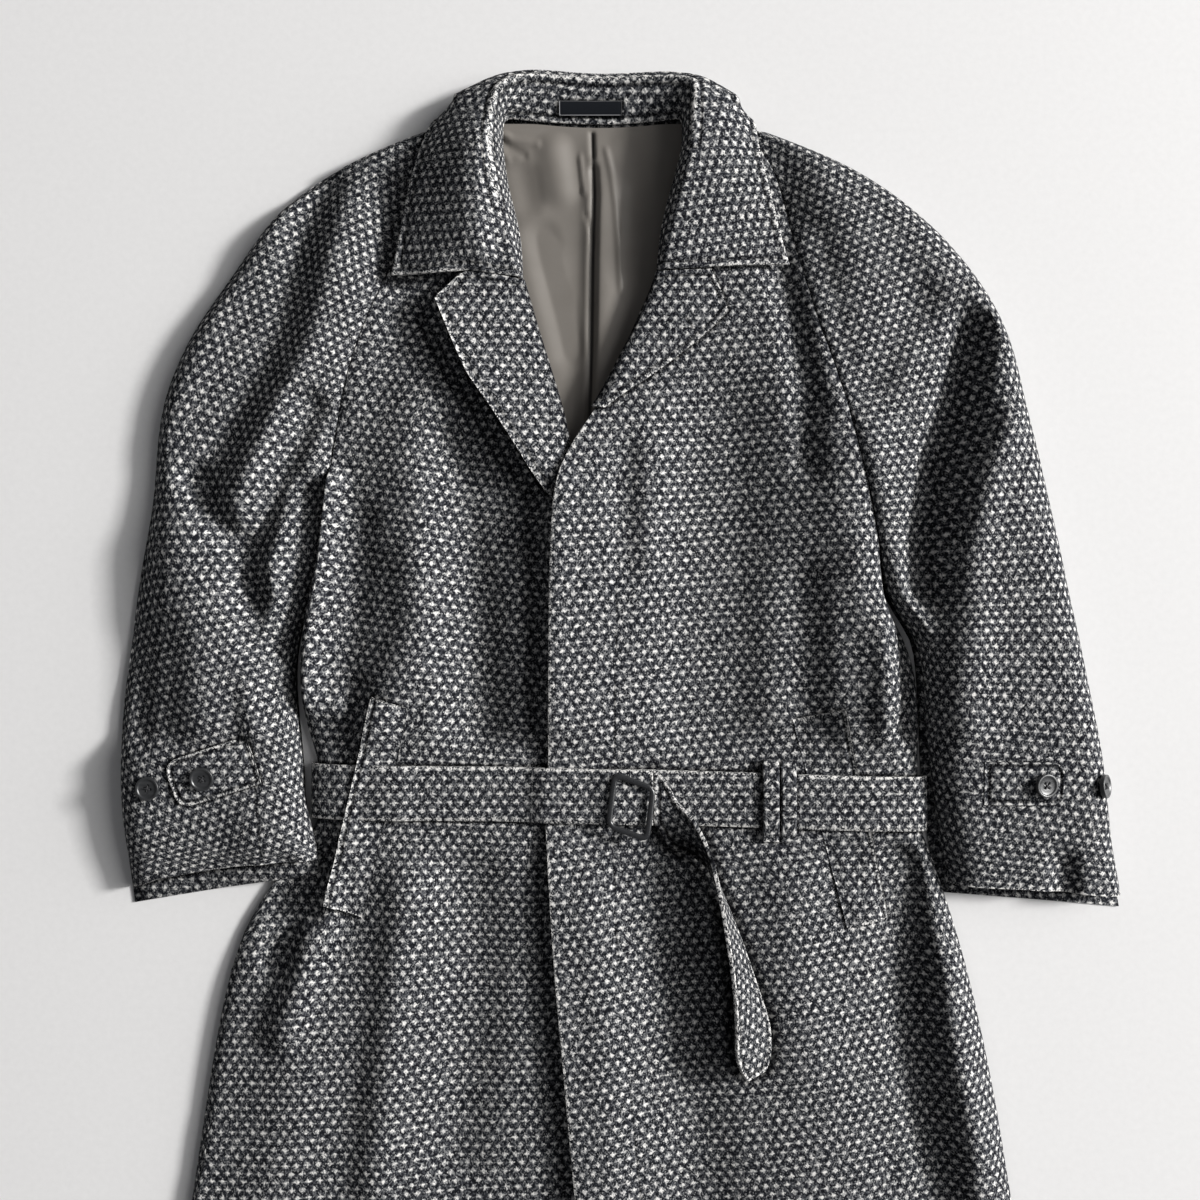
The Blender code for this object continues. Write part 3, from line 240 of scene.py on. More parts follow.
# Edges that are sewn down, or that stand off what is under them: the run, its reach and the rise
Lift = namedtuple("Lift", "run reach rise")
LIFTS = {
    "front_left": [
        Lift(((-44, 300), (-48, 193), (-49, 75)), 30, 6.0),
        Lift(((-49, -80), (-45, -149), (-36, -244), (-23, -387), (-12, -500)), 26, 3.2),
    ],
    "lapel_right": [
        Lift(((-165, 455), (-150, 420), (-125, 385), (-95, 340), (-58, 292)), 42, 5.0),
        Lift(((-94, 487), (-74, 484)), 26, 4.0),
    ],
    "pocket_welt_left": [
        Lift(((182, 70), (234, -129)), 16, -2.3),
        Lift(((229, 81), (275, -119)), 26, 4.0),
    ],
    "pocket_welt_right": [
        Lift(((-180, 81), (-223, -118)), 16, -2.3),
        Lift(((-214, 93), (-260, -104)), 32, 9.0),
    ],
    "cuff_tab_left": [Lift(((359, -12), (359, 34)), 16, -1.6), Lift(((355, 10), (440, 10)), 90, -0.8)],
    "cuff_tab_right": [Lift(((-331, 10), (-315, 58)), 12, -1.2)],
    "belt_loop": [Lift(((161, 30), (161, -50)), 60, 1.8)],
    "belt_keeper": [Lift(((178, 30), (178, -50)), 60, 1.2)],
}
SEWN_DOWN = {"pocket_welt_left": ((182, 70), (234, -129)), "pocket_welt_right": ((-180, 81), (-223, -118))}
SEWN_DOWN_REACH = 3.0
RIM_SPOT = 0.05         # points this close to a cut edge count as its rim
# The collar's two leaves: crest, edge, and how far each is raised there
Leaf = namedtuple("Leaf", "sign crest_x edge_x crest_rise edge_rise")
LEAVES = [Leaf(-1, 124, 185, 21.0, 3.0), Leaf(1, 75, 170, 5.0, -1.5)]
LEAF_LOWEST = (20.0, 14.0)      # the leaves begin over this height, and their fade
LEAF_TOP = (645.0, 50.0)        # and end behind the neck, with this fade
CREST_REACH = (35.0, 25.0)      # how far before the crest the rise starts, and its fade
ROLL_REACH = 40.0
LEAF_END = 482.0                # where the roll runs into the lapels
# The leaves come down to their lapels: place across the coat, and how far the lower edge moves
LEAF_PULL = (
    (-190, -12.0), (-160, -11.0), (-138, -8.0), (-122, -4.6), (-75, -4.2), (-60, 0.0),
    (45, 0.0), (56, -4.3), (75, -3.9), (100, -3.2), (130, -1.5), (170, -1.0),
)
LEAF_PULL_TOP = 575.0
LEAF_PULL_REACH = 80.0
# Where collar and lapel are sewn together, with no open edge and no painted highlight
GORGE_RIGHT = ((-114, 490), (-98, 488), (-76, 485))
GORGE_LEFT = ((56, 494), (92, 495))
GORGES = {"collar": (GORGE_RIGHT, GORGE_LEFT), "lapel_right": (GORGE_RIGHT,), "lapel_left": (GORGE_LEFT,)}
GORGE_REACH = 9.0
# Layers that darken the cloth beside their edges with painted shade, and how much closer it counts as being
NOOK_LAYERS = {"collar": 1.0, "lapel": 1.0, "patch": 1.0, "belt": 1.0, "label": 1.0, "tail": 0.3}
TAIL_LEVEL = 24.0       # the belt's tail is pressed down over this height
TAIL_PRESS = 0.65
# Painted shade fills the tail's twist beside the buckle, which also gets no painted edge highlight
TAIL_HOLLOW = ((56, -38), (72, -48), (94, -60))    # the twist beside the buckle, in the tail's own shade
HOLLOW_REACH = 14.0
HOLLOW_SHADE = 0.18
FLAT_PATCHES = {"cuff_tab_left": 2.6}      # pieces that lie so close that little shade shows beside them
# On pieces underneath, painted shade reaches this much further beside what lies on them, which shows as the
# dark strip inside a cuff
UNDER_NOOK = 4.0        # the dark strip inside a cuff is wider by this
FAR = 1000.0

# Cuffs: the front half of a sleeve is drawn up, by these amounts across it, so that its back half's hem shows
CUFF_TOP = -40.0
CUFF_REACH = 50.0
CUFF_PULLS = {
    "sleeve_front_right": ((-455, 5), (-415, 13), (-330, 15), (-267, 10)),
    "sleeve_front_left": ((333, 1), (400, 4), (498, 4)),
}

# The underside of a sleeve comes closer to the body: height on the plan, its inner edge and the way it moves
Closing = namedtuple("Closing", "y edge_x shift")
CLOSINGS = {
    "sleeve_back_left": [
        Closing(-70, 325, -10), Closing(0, 316, -9), Closing(60, 311, -6),
        Closing(120, 305, -5), Closing(175, 278, -2),
    ],
}
CLOSING_REACH = 30.0

# Buttons and their sewing
BUTTON_RADIUS = 11.0
BUTTON_HEIGHT = 4.2
BUTTON_INSETS = ((1.9, 0.0), (1.0, -1.0), (2.6, -0.35))    # width and rise of the rings inside the rim
BUTTON_BEVEL = 0.5
BEVEL_ANGLE = math.radians(30)
SHARP_ANGLE = math.radians(40)
HOLE_RADIUS = 1.05
HOLE_PLACE = 2.15
THREAD_RADIUS = 0.55
THREAD_BEVEL = 0.25
BUTTON_TILTS = {"button_left_tab": math.radians(17)}     # towards the light

# Weave: a staggered lattice of white flecks on charcoal
FLECK_ACROSS = 10.45
FLECK_ALONG = 15.4


def soft_step(value):
    t = np.clip(value, 0, 1)
    return t * t * (3 - 2 * t)


class Field:
    """A shader socket. Arithmetic on it adds Math nodes to its tree."""

    def __init__(self, tree, socket):
        self.tree = tree
        self.socket = socket

    def add(self, kind, settings=None, inputs=None, output=0):
        """Any node: its settings first, then the values or links of its sockets."""
        node = self.tree.nodes.new(kind)
        for key, value in (settings or {}).items():
            if key == "stops":
                set_stops(node.color_ramp, value)
            else:
                setattr(node, key, value)
        for key, value in (inputs or {}).items():
            if isinstance(value, Field):
                self.tree.links.new(value.socket, node.inputs[key])
            else:
                node.inputs[key].default_value = value
        return Field(self.tree, node.outputs[output])

    def maths(self, operation, first, second=0.0):
        return self.add("ShaderNodeMath", {"operation": operation}, {0: first, 1: second})

    def __add__(self, other):
        return self.maths("ADD", self, other)

    def __radd__(self, other):
        return self.maths("ADD", other, self)

    def __sub__(self, other):
        return self.maths("SUBTRACT", self, other)

    def __rsub__(self, other):
        return self.maths("SUBTRACT", other, self)

    def __mul__(self, other):
        return self.maths("MULTIPLY", self, other)

    def __rmul__(self, other):
        return self.maths("MULTIPLY", other, self)

    def __pow__(self, other):
        return self.maths("POWER", self, other)

    def __abs__(self):
        return self.maths("ABSOLUTE", self)

    def rounded(self):
        return self.maths("ROUND", self)

    def smooth(self, low, high):
        """0 below one value and 1 above the other, with a soft passage between."""
        settings = {"interpolation_type": "SMOOTHSTEP"}
        return self.add("ShaderNodeMapRange", settings, {"Value": self, "From Min": low, "From Max": high})

    def vector(self, operation, other):
        return self.add("ShaderNodeVectorMath", {"operation": operation}, {0: self, 1: other})

    def blend(self, low, high):
        """A colour between two, by this share."""
        settings = {"data_type": "RGBA"}
        return self.add("ShaderNodeMix", settings, {0: self, 6: low, 7: high}, output=2)


def set_stops(ramp, stops):
    while len(ramp.elements) < len(stops):
        ramp.elements.new(1.0)
    for element, (place, value) in zip(ramp.elements, stops):
        element.position = place
        element.color = (*value, 1) if len(value) == 3 else value


def new_finish(name, roughness, **constants):
    """A material with its shader, and a field that adds nodes to it."""
    made = bpy.data.materials.new(name)
    made.use_nodes = True
    shader = made.node_tree.nodes["Principled BSDF"]
    shader.inputs["Roughness"].default_value = roughness
    for key, value in constants.items():
        shader.inputs[key.replace("_", " ")].default_value = value
    return made, shader, Field(made.node_tree, None)


def feed(field, shader, socket):
    field.tree.links.new(field.socket, shader.inputs[socket])


def uv_millimetres(start):
    uv = start.add("ShaderNodeTexCoord", output="UV")
    return uv.vector("MULTIPLY", (1000, 1000, 0))


def attribute(start, name):
    return start.add("ShaderNodeAttribute", {"attribute_name": name}, output="Fac")


def noise(place, size, detail=2.0, roughness=0.5, output="Fac"):
    settings = {"noise_dimensions": "2D"}
    inputs = {"Vector": place, "Scale": 1 / size, "Detail": detail, "Roughness": roughness}
    return place.add("ShaderNodeTexNoise", settings, inputs, output=output)


def tweed():
    """Charcoal wool with staggered white flecks made of single thread ends, a painted highlight along turned
    edges, and painted shade along stitch grooves and beside the pieces that lie on it.
    """
    made, shader, start = new_finish("flecked_tweed", 0.95, Specular_IOR_Level=0.02)
    place = uv_millimetres(start)
    wander = noise(place, 8.0, 1.0, output="Color").vector("SUBTRACT", (0.5, 0.5, 0.5))
    place = place.vector("ADD", wander.vector("MULTIPLY", (1.1, 1.1, 0)))
    parts = place.add("ShaderNodeSeparateXYZ", inputs={0: place})
    u = Field(place.tree, parts.socket.node.outputs["X"])
    v = Field(place.tree, parts.socket.node.outputs["Y"])
    a = u * (1 / FLECK_ACROSS) + v * (1 / FLECK_ALONG)
    b = u * (1 / FLECK_ACROSS) - v * (1 / FLECK_ALONG)
    rest_a = a - a.rounded()
    rest_b = b - b.rounded()
    across = abs(rest_a + rest_b) * (FLECK_ACROSS / 2)
    along = abs(rest_a - rest_b) * (FLECK_ALONG / 2)
    star = (across * (1 / 5.0)) ** 0.8 + (along * (1 / 4.4)) ** 0.8
    fleck = 1 - star.smooth(0.3, 1.15)

    ends = place.add(
        "ShaderNodeTexVoronoi", {"voronoi_dimensions": "2D"},
        {"Vector": place.vector("MULTIPLY", (1 / 1.15, 1 / 1.5, 0)), "Scale": 1.0, "Randomness": 0.85},
        output="Color",
    )
    end_gap = Field(place.tree, ends.socket.node.outputs["Distance"])
    end_tone = ends.add("ShaderNodeSeparateColor", inputs={0: ends}, output=0)
    fibre = noise(place, 0.7, 2.0, 0.6)
    # Painted highlight: the cloth is paler near turned edges, standing in for the light they catch
    edge = 1 - attribute(start, "edge").smooth(1.2, 4.0)
    lit_edge = edge * (end_tone * 0.32 + 0.02)
    tone = fleck * 0.47 + end_tone * 0.48 + (fibre - 0.5) * 0.3 - end_gap * 0.1 + lit_edge
    colour = tone.add(
        "ShaderNodeValToRGB",
        {"stops": [
            (0.0, (0.0080, 0.0086, 0.0108)), (0.12, (0.0134, 0.0144, 0.0178)),
            (0.22, (0.0335, 0.0358, 0.0422)), (0.34, (0.100, 0.103, 0.111)),
            (0.48, (0.268, 0.269, 0.268)), (0.66, (0.60, 0.59, 0.575)), (0.86, (0.84, 0.82, 0.79)),
        ]},
        {"Fac": tone},
    )
    # Painted shade: darker along the pressed stitch grooves and beside the edges of pieces that lie on this
    # cloth
    groove = attribute(start, "sewn").smooth(0.2, 2.2)
    nook = attribute(start, "nook").smooth(0.6, 4.2)
    shade = (groove * 0.6 + 0.4) * (nook * 0.78 + 0.22)
    colour = shade.add(
        "ShaderNodeMix", {"data_type": "RGBA", "blend_type": "MULTIPLY"},
        {0: 1.0, 6: colour, 7: shade.blend((0, 0, 0, 1), (1, 1, 1, 1))}, output=2,
    )
    feed(colour, shader, "Base Color")
    height = fleck * 0.35 + end_tone * 0.3 - end_gap * 0.6 + fibre * 0.4 + groove * 1.2
    bump = height.add("ShaderNodeBump", inputs={"Strength": 0.55, "Distance": 0.0007, "Height": height})
    feed(bump, shader, "Normal")
    return made


def satin():
    """Grey-brown lining with a soft sheen, a fine diagonal weave and painted shade along its pleat."""
    made, shader, start = new_finish("lining_satin", 0.5, Specular_IOR_Level=0.3)
    place = uv_millimetres(start)
    cloudy = noise(place, 40.0, 3.0)
    colour = cloudy.blend((0.172, 0.157, 0.140, 1), (0.214, 0.197, 0.178, 1))
    # Painted shade: a dark line along the lining's pleat
    pleat_shade = attribute(start, "sewn").smooth(0.4, 2.6)
    feed(pleat_shade.blend((0.018, 0.016, 0.015, 1), colour), shader, "Base Color")
    lines = place.add(
        "ShaderNodeTexWave", {"wave_type": "BANDS", "bands_direction": "DIAGONAL"},
        {"Vector": place, "Scale": 0.45, "Distortion": 1.5, "Detail": 1.0}, output="Fac",
    )
    feed(noise(place, 12.0, 2.0) * 0.12 + 0.46, shader, "Roughness")
    bump = lines.add("ShaderNodeBump", inputs={"Strength": 0.06, "Distance": 0.0003, "Height": lines})
    feed(bump, shader, "Normal")
    return made


def label_weave():
    """Dark woven tape, bare, with a fine rib and a pale selvedge line."""
    made, shader, start = new_finish("label_weave", 0.7, Specular_IOR_Level=0.1)
    place = uv_millimetres(start)
    inputs = {"Vector": place, "Scale": 0.9}
    rib = place.add("ShaderNodeTexWave", {"bands_direction": "X"}, inputs, output="Fac")
    edge = attribute(start, "rim").smooth(0.5, 1.1)
    colour = rib.blend((0.004, 0.005, 0.007, 1), (0.012, 0.014, 0.019, 1))
    colour = edge.blend((0.22, 0.22, 0.23, 1), colour)
    feed(colour, shader, "Base Color")
    bump = rib.add("ShaderNodeBump", inputs={"Strength": 0.3, "Distance": 0.0002, "Height": rib})
    feed(bump, shader, "Normal")
    return made


def horn():
    """Dark horn with faint streaks."""
    made, shader, start = new_finish("dark_horn", 0.4, Specular_IOR_Level=1.0)
    place = start.add("ShaderNodeTexCoord", output="Object")
    inputs = {"Vector": place.vector("MULTIPLY", (60, 420, 60)), "Scale": 1.0, "Detail": 4.0}
    streak = place.add("ShaderNodeTexNoise", inputs=inputs, output="Fac")
    colour = streak.smooth(0.35, 0.7).blend((0.020, 0.021, 0.023, 1), (0.034, 0.035, 0.037, 1))
    feed(colour, shader, "Base Color")
    feed(streak * 0.1 + 0.30, shader, "Roughness")
    return made


def buckle_cover():
    """Smooth dark leather over a frame."""
    made, shader, start = new_finish("buckle_leather", 0.38, Specular_IOR_Level=0.9)
    place = start.add("ShaderNodeTexCoord", output="Object")
    inputs = {"Vector": place, "Scale": 900.0, "Detail": 3.0}
    grain = place.add("ShaderNodeTexNoise", inputs=inputs, output="Fac")
    feed(grain.blend((0.009, 0.0095, 0.011, 1), (0.028, 0.029, 0.032, 1)), shader, "Base Color")
    feed(grain * 0.15 + 0.22, shader, "Roughness")
    bump = grain.add("ShaderNodeBump", inputs={"Strength": 0.15, "Distance": 0.0002, "Height": grain})
    feed(bump, shader, "Normal")
    return made


def thread():
    """Dark sewing thread with a twist."""
    made, shader, start = new_finish("sewing_thread", 0.7)
    place = start.add("ShaderNodeTexCoord", output="Object")
    twist = place.add("ShaderNodeTexNoise", inputs={"Vector": place, "Scale": 2500.0}, output="Fac")
    feed(twist.blend((0.012, 0.012, 0.014, 1), (0.05, 0.05, 0.055, 1)), shader, "Base Color")
    return made


def pale_board():
    """Pale painted surface with a faint texture."""
    made, shader, start = new_finish("pale_board", 0.6, Specular_IOR_Level=0.25)
    place = start.add("ShaderNodeTexCoord", output="Object")
    inputs = {"Vector": place, "Scale": 160.0, "Detail": 4.0}
    grain = place.add("ShaderNodeTexNoise", inputs=inputs, output="Fac")
    feed(grain.blend((0.77, 0.765, 0.765, 1), (0.83, 0.825, 0.825, 1)), shader, "Base Color")
    bump = grain.add("ShaderNodeBump", inputs={"Strength": 0.12, "Distance": 0.0006, "Height": grain})
    feed(bump, shader, "Normal")
    return made


def only(piece):
    """Selects one object and makes it active."""
    bpy.ops.object.select_all(action="DESELECT")
    piece.select_set(True)
    bpy.context.view_layer.objects.active = piece


def apply_modifier(piece, kind, **settings):
    only(piece)
    modifier = piece.modifiers.new(kind.lower(), kind)
    for key, value in settings.items():
        setattr(modifier, key, value)
    bpy.ops.object.modifier_apply(modifier=modifier.name)


def points_of(mesh):
    flat = np.empty(len(mesh.vertices) * 3)
    mesh.vertices.foreach_get("co", flat)
    return flat.reshape(-1, 3)


def set_points(mesh, points):
    mesh.vertices.foreach_set("co", points.ravel())
    mesh.update()


def normals_of(mesh):
    flat = np.empty(len(mesh.vertices) * 3)
    mesh.vertex_normals.foreach_get("vector", flat)
    return flat.reshape(-1, 3)


def store(mesh, name, values):
    made = mesh.attributes.new(name, "FLOAT", "POINT")
    made.data.foreach_set("value", np.asarray(values, dtype=np.float32))


def copy_of(node):
    """A merged copy of a solid, in quads, its rim marked as seams and creases and its faces unwrapped."""
    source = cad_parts[node]
    piece = bpy.data.objects.new(f"{node}_cloth", source.data.copy())
    bpy.context.scene.collection.objects.link(piece)
    piece.data.materials.clear()
    only(piece)
    bpy.ops.mesh.customdata_custom_splitnormals_clear()
    bpy.ops.object.mode_set(mode="EDIT")
    bpy.ops.mesh.select_mode(type="EDGE")
    bpy.ops.mesh.select_all(action="SELECT")
    bpy.ops.mesh.remove_doubles(threshold=MERGE)
    bpy.ops.mesh.mark_sharp(clear=True)
    bpy.ops.mesh.tris_convert_to_quads(face_threshold=QUAD_ANGLE, shape_threshold=QUAD_ANGLE)
    bpy.ops.mesh.select_all(action="DESELECT")
    bpy.ops.mesh.edges_select_sharp(sharpness=RIM_ANGLE)
    bpy.ops.mesh.mark_seam()
    bpy.ops.mesh.select_all(action="SELECT")
    bpy.ops.uv.unwrap(method="ANGLE_BASED", margin=0.001)
    bpy.ops.object.mode_set(mode="OBJECT")
    mesh = piece.data
    rim = np.zeros(len(mesh.edges), dtype=bool)
    mesh.edges.foreach_get("use_seam", rim)
    crease = mesh.attributes.new("crease_edge", "FLOAT", "EDGE")
    crease.data.foreach_set("value", rim.astype(np.float32))
    return piece


def face_islands(mesh):
    """Groups of faces joined across edges that aren't seams."""
    owners = {}
    for face in mesh.polygons:
        for key in face.edge_keys:
            owners.setdefault(key, []).append(face.index)
    seams = {edge.key for edge in mesh.edges if edge.use_seam}
    group = [-1] * len(mesh.polygons)
    groups = []
    for start in range(len(mesh.polygons)):
        if group[start] >= 0:
            continue
        found = [start]
        group[start] = len(groups)
        for face in found:
            for key in mesh.polygons[face].edge_keys:
                if key in seams:
                    continue
                for other in owners[key]:
                    if group[other] < 0:
                        group[other] = len(groups)
                        found.append(other)
        groups.append(found)
    return groups


def lay_grain(piece):
    """Turns and scales each unwrapped face of the cloth to lie over its place on the plan, in metres."""
    mesh = piece.data
    layer = mesh.uv_layers.active
    uv = np.empty(len(mesh.loops) * 2)
    layer.uv.foreach_get("vector", uv)
    uv = uv.reshape(-1, 2)
    flat = uv[:, 0] + 1j * uv[:, 1]
    corner = np.empty(len(mesh.loops), dtype=int)
    mesh.loops.foreach_get("vertex_index", corner)
    points = points_of(mesh)[corner]
    plan = points[:, 0] + 1j * points[:, 1]
    laid = plan + (1 + 1j) * points[:, 2]
    groups = face_islands(mesh)
    areas = [sum(mesh.polygons[f].area for f in group) for group in groups]
    for group, area in zip(groups, areas):
        if area < MAIN_FACE * max(areas):
            continue
        loops = np.concatenate([np.array(mesh.polygons[f].loop_indices) for f in group])
        uv_area = 0.0
        for f in group:
            ring = flat[np.array(mesh.polygons[f].loop_indices)]
            swept = ring.real * np.roll(ring.imag, -1) - np.roll(ring.real, -1) * ring.imag
            uv_area += abs(np.sum(swept)) / 2
        scale = math.sqrt(area / max(uv_area, 1e-12))
        target = plan[loops] - plan[loops].mean()
        best = None
        for source in (flat[loops], flat[loops].conj()):
            centred = (source - source.mean()) * scale
            turn = np.sum(target * centred.conj())
            turned = centred * turn / abs(turn)
            error = np.sum(np.abs(target - turned) ** 2)
            if best is None or error < best[0]:
                best = (error, turned)
        laid[loops] = best[1] + plan[loops].mean()
    rows = GRAINS.get(piece.name.removesuffix("_cloth"))
    u, v = laid.real, laid.imag
    if rows:
        heights = np.array([row.y for row in rows][::-1]) * MM
        slopes = np.array([row.slope for row in rows][::-1])
        steps = np.linspace(*GRAIN_SPAN)
        slope_at = np.interp(steps, heights, slopes)
        swing = np.concatenate([[0], np.cumsum((slope_at[1:] + slope_at[:-1]) / 2 * np.diff(steps))])
        middle = u.mean()
        slope = np.interp(v, heights, slopes)
        u, v = u + np.interp(v, steps, swing), v - slope * (u - middle)
    layer.uv.foreach_set("vector", np.stack([u, v], axis=1).ravel())


def rim_distance(mesh):
    """Distance of each point from the cloth's cut edges, in millimetres."""
    rim = np.zeros(len(mesh.edges), dtype=bool)
    mesh.edges.foreach_get("use_seam", rim)
    ends = np.empty(len(mesh.edges) * 2, dtype=int)
    mesh.edges.foreach_get("vertices", ends)
    marked = np.unique(ends.reshape(-1, 2)[rim])
    points = points_of(mesh)
    tree = KDTree(len(marked))
    for k, index in enumerate(marked):
        tree.insert(points[index], k)
    tree.balance()
    return np.array([tree.find(point)[2] for point in points]) / MM


def distance_to_run(points, run):
    """Distance of each point from a polyline on the plan, in millimetres."""
    plan = points[:, :2] / MM
    best = np.full(len(plan), 1e6)
    for start, end in zip(run, run[1:]):
        start, along = np.array(start), np.array(end) - np.array(start)
        share = np.clip((plan - start) @ along / (along @ along), 0, 1)
        best = np.minimum(best, np.linalg.norm(plan - start - share[:, None] * along, axis=1))
    return best


def crease_height(points, creases):
    total = np.zeros(len(points))
    for crease in creases:
        share = np.clip(distance_to_run(points, crease.run) / (CREASE_SPREAD * crease.half_width), 0, 1)
        total += crease.height * 0.5 * (1 + np.cos(math.pi * share))
    return total


def crease_cloth(points, normals, lift, own=()):
    """Moves the cloth of fronts and sleeves, and what lies on it, along the creases."""
    height = points[:, 2] / MM - lift + CLOTH_WALL * np.clip(-normals[:, 2], 0, 1)
    fade = soft_step((height - CREASE_FLOOR) / CREASE_FADE)
    middle, half, reach = BELT_BAND
    fade *= soft_step((np.abs(points[:, 1] / MM - middle) - half) / reach)
    moved = height + (crease_height(points, CREASES) + crease_height(points, own)) * fade
    lowest = LOWEST + CLOTH_WALL
    landed = lowest + LANDING * np.exp((moved - lowest - LANDING) / LANDING)
    moved = np.where(moved < lowest + LANDING, np.maximum(landed, lowest), moved)
    points[:, 2] += np.where(fade > 0, moved - height, 0) * MM


def stitch(cloth, points, normals, rim):
    """Presses the sewn lines into the outer face and returns each point's distance from them."""
    lines = [distance_to_run(points, run) for run in SEWN.get(cloth.node, [])]
    if cloth.node in RIM_STITCH:
        lines.append(np.abs(rim - RIM_STITCH[cloth.node]))
    if not lines:
        return np.full(len(points), FAR)
    sewn = np.min(lines, axis=0)
    dent = STITCH_DEPTH * (1 - soft_step(sewn / STITCH_REACH)) * np.clip(normals[:, 2] * 2, 0, 1)
    points -= normals * dent[:, None] * MM
    return sewn


def lift_edges(cloth, points):
    """Raises a piece along its standing edges and sinks it along those that are sewn down."""
    for lift in LIFTS.get(cloth.node, []):
        share = 1 - soft_step(distance_to_run(points, lift.run) / lift.reach)
        points[:, 2] += lift.rise * share * MM


def raise_leaves(points):
    """Makes the collar's leaves fall more steeply from the crest of the roll."""
    lowest, rise = LEAF_LOWEST
    top, fall = LEAF_TOP
    start, fade = CREST_REACH
    high = soft_step((points[:, 2] / MM - lowest) / rise) * soft_step((top - points[:, 1] / MM) / fall)
    for leaf in LEAVES:
        x = points[:, 0] / MM * leaf.sign
        share = np.clip((x - leaf.crest_x) / (leaf.edge_x - leaf.crest_x), 0, 1)
        near = soft_step((x - leaf.crest_x + start) / fade) * high
        roll = 1 - soft_step((x - leaf.crest_x) / ROLL_REACH)
        near *= 1 - roll * (1 - soft_step((points[:, 1] / MM - LEAF_END) / ROLL_REACH))
        points[:, 2] += near * (leaf.crest_rise * (1 - share) + leaf.edge_rise * share) * MM


def close_gap(points, closings):
    """Moves a sleeve's underside towards the body along its inner edge."""
    rows = sorted(closings)
    heights = [row.y for row in rows]
    edge = np.interp(points[:, 1] / MM, heights, [row.edge_x for row in rows])
    shift = np.interp(points[:, 1] / MM, heights, [row.shift for row in rows])
    points[:, 0] += shift * (1 - soft_step(np.abs(points[:, 0] / MM - edge) / CLOSING_REACH)) * MM


def edge_distance(cloth, points, rim):
    """Distance from the turned edges that catch the light, in millimetres, for the painted highlight there.
    """
    if cloth.layer == "tail":
        return np.where(distance_to_run(points, TAIL_HOLLOW) < HOLLOW_REACH, FAR, rim)
    if cloth.node in GORGES:
        joined = np.min([distance_to_run(points, run) for run in GORGES[cloth.node]], axis=0)
        return np.where(joined < GORGE_REACH, FAR, rim)
    if cloth.node in RIM_STITCH and cloth.node not in PLAIN_EDGES:
        return rim
    runs = [distance_to_run(points, run) for run in EDGE_RUNS.get(cloth.node, [])]
    return np.min(runs, axis=0) if runs else np.full(len(points), FAR)


def make_cloth(cloth, finish):
    piece = copy_of(cloth.node)
    lay_grain(piece)
    apply_modifier(piece, "SUBSURF", levels=cloth.levels, render_levels=cloth.levels)
    mesh = piece.data
    rim = rim_distance(mesh)
    points = points_of(mesh)
    normals = normals_of(mesh)
    rounding = ROUNDING * MM * np.clip(1 - rim / ROUNDING_REACH, 0, 1) ** 2
    points -= normals * rounding[:, None]
    sewn = stitch(cloth, points, normals, rim)
    edge = edge_distance(cloth, points, rim)
    lift_edges(cloth, points)
    if cloth.node == "collar":
        raise_leaves(points)
        pull = np.interp(points[:, 0] / MM, *zip(*LEAF_PULL))
        points[:, 1] += pull * soft_step((LEAF_PULL_TOP - points[:, 1] / MM) / LEAF_PULL_REACH) * MM
    if cloth.layer == "tail":
        points[:, 2] -= (1 - TAIL_PRESS) * np.maximum(points[:, 2] - TAIL_LEVEL * MM, 0)
    if cloth.node in CUFF_PULLS:
        pull = np.interp(points[:, 0] / MM, *zip(*CUFF_PULLS[cloth.node]))
        points[:, 1] += pull * soft_step((CUFF_TOP - points[:, 1] / MM) / CUFF_REACH) * MM
    if cloth.node in CLOSINGS:
        close_gap(points, CLOSINGS[cloth.node])
    if cloth.layer in CREASED:
        crease_cloth(points, normals, CREASED[cloth.layer], OWN_CREASES.get(cloth.node, ()))
    if cloth.layer == "lining":
        held = soft_step((LINING_TOP - points[:, 1] / MM) / LINING_FADE)
        sink = crease_height(points, LINING_CREASES) * held * MM
        outer = points[:, 2] + LINING_CLOTH * np.clip(-normals[:, 2], 0, 1) * MM
        points[:, 2] += np.maximum(sink, np.minimum(LINING_LOWEST * MM - outer, 0))
    set_points(mesh, points)
    store(mesh, "rim", rim)
    store(mesh, "sewn", sewn)
    store(mesh, "edge", edge)
    mesh.materials.append(finish)
    mesh.shade_smooth()
    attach(piece, BODY)
    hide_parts(cloth.node)
    return piece


def rim_spots(mesh, sewn_down):
    """Points of a piece's rim, without those along an edge that is sewn down."""
    rim = np.empty(len(mesh.vertices), dtype=np.float32)
    mesh.attributes["rim"].data.foreach_get("value", rim)
    spots = points_of(mesh)[rim < RIM_SPOT]
    if sewn_down:
        spots = spots[distance_to_run(spots, sewn_down) > SEWN_DOWN_REACH]
    return spots


def mark_nooks(pieces):
    """Stores how far the points of a panel are from the edges of what lies on it, for the painted shade that
    the finish puts there; the tail's twist beside the buckle gets it too.
    """
    for cloth in CLOTHS:
        mesh = pieces[cloth.node].data
        under = cloth.layer == "under"
        points = points_of(mesh)
        nook = np.full(len(points), FAR)
        if cloth.layer == "tail":
            nook = distance_to_run(points, TAIL_HOLLOW) * HOLLOW_SHADE
        for over in CLOTHS:
            if cloth.node not in over.rests_on or not (under or over.layer in NOOK_LAYERS):
                continue
            spots = rim_spots(pieces[over.node].data, SEWN_DOWN.get(over.node))
            tree = KDTree(len(spots))
            for k, (x, y, z) in enumerate(spots):
                tree.insert((x, y, 0), k)
            tree.balance()
            away = np.array([tree.find((x, y, 0))[2] / MM for x, y, z in points])
            share = FLAT_PATCHES.get(over.node, NOOK_LAYERS.get(over.layer, 1.0))
            nook = np.minimum(nook, np.maximum(away - UNDER_NOOK, 0) if under else away * share)
        store(mesh, "nook", nook)


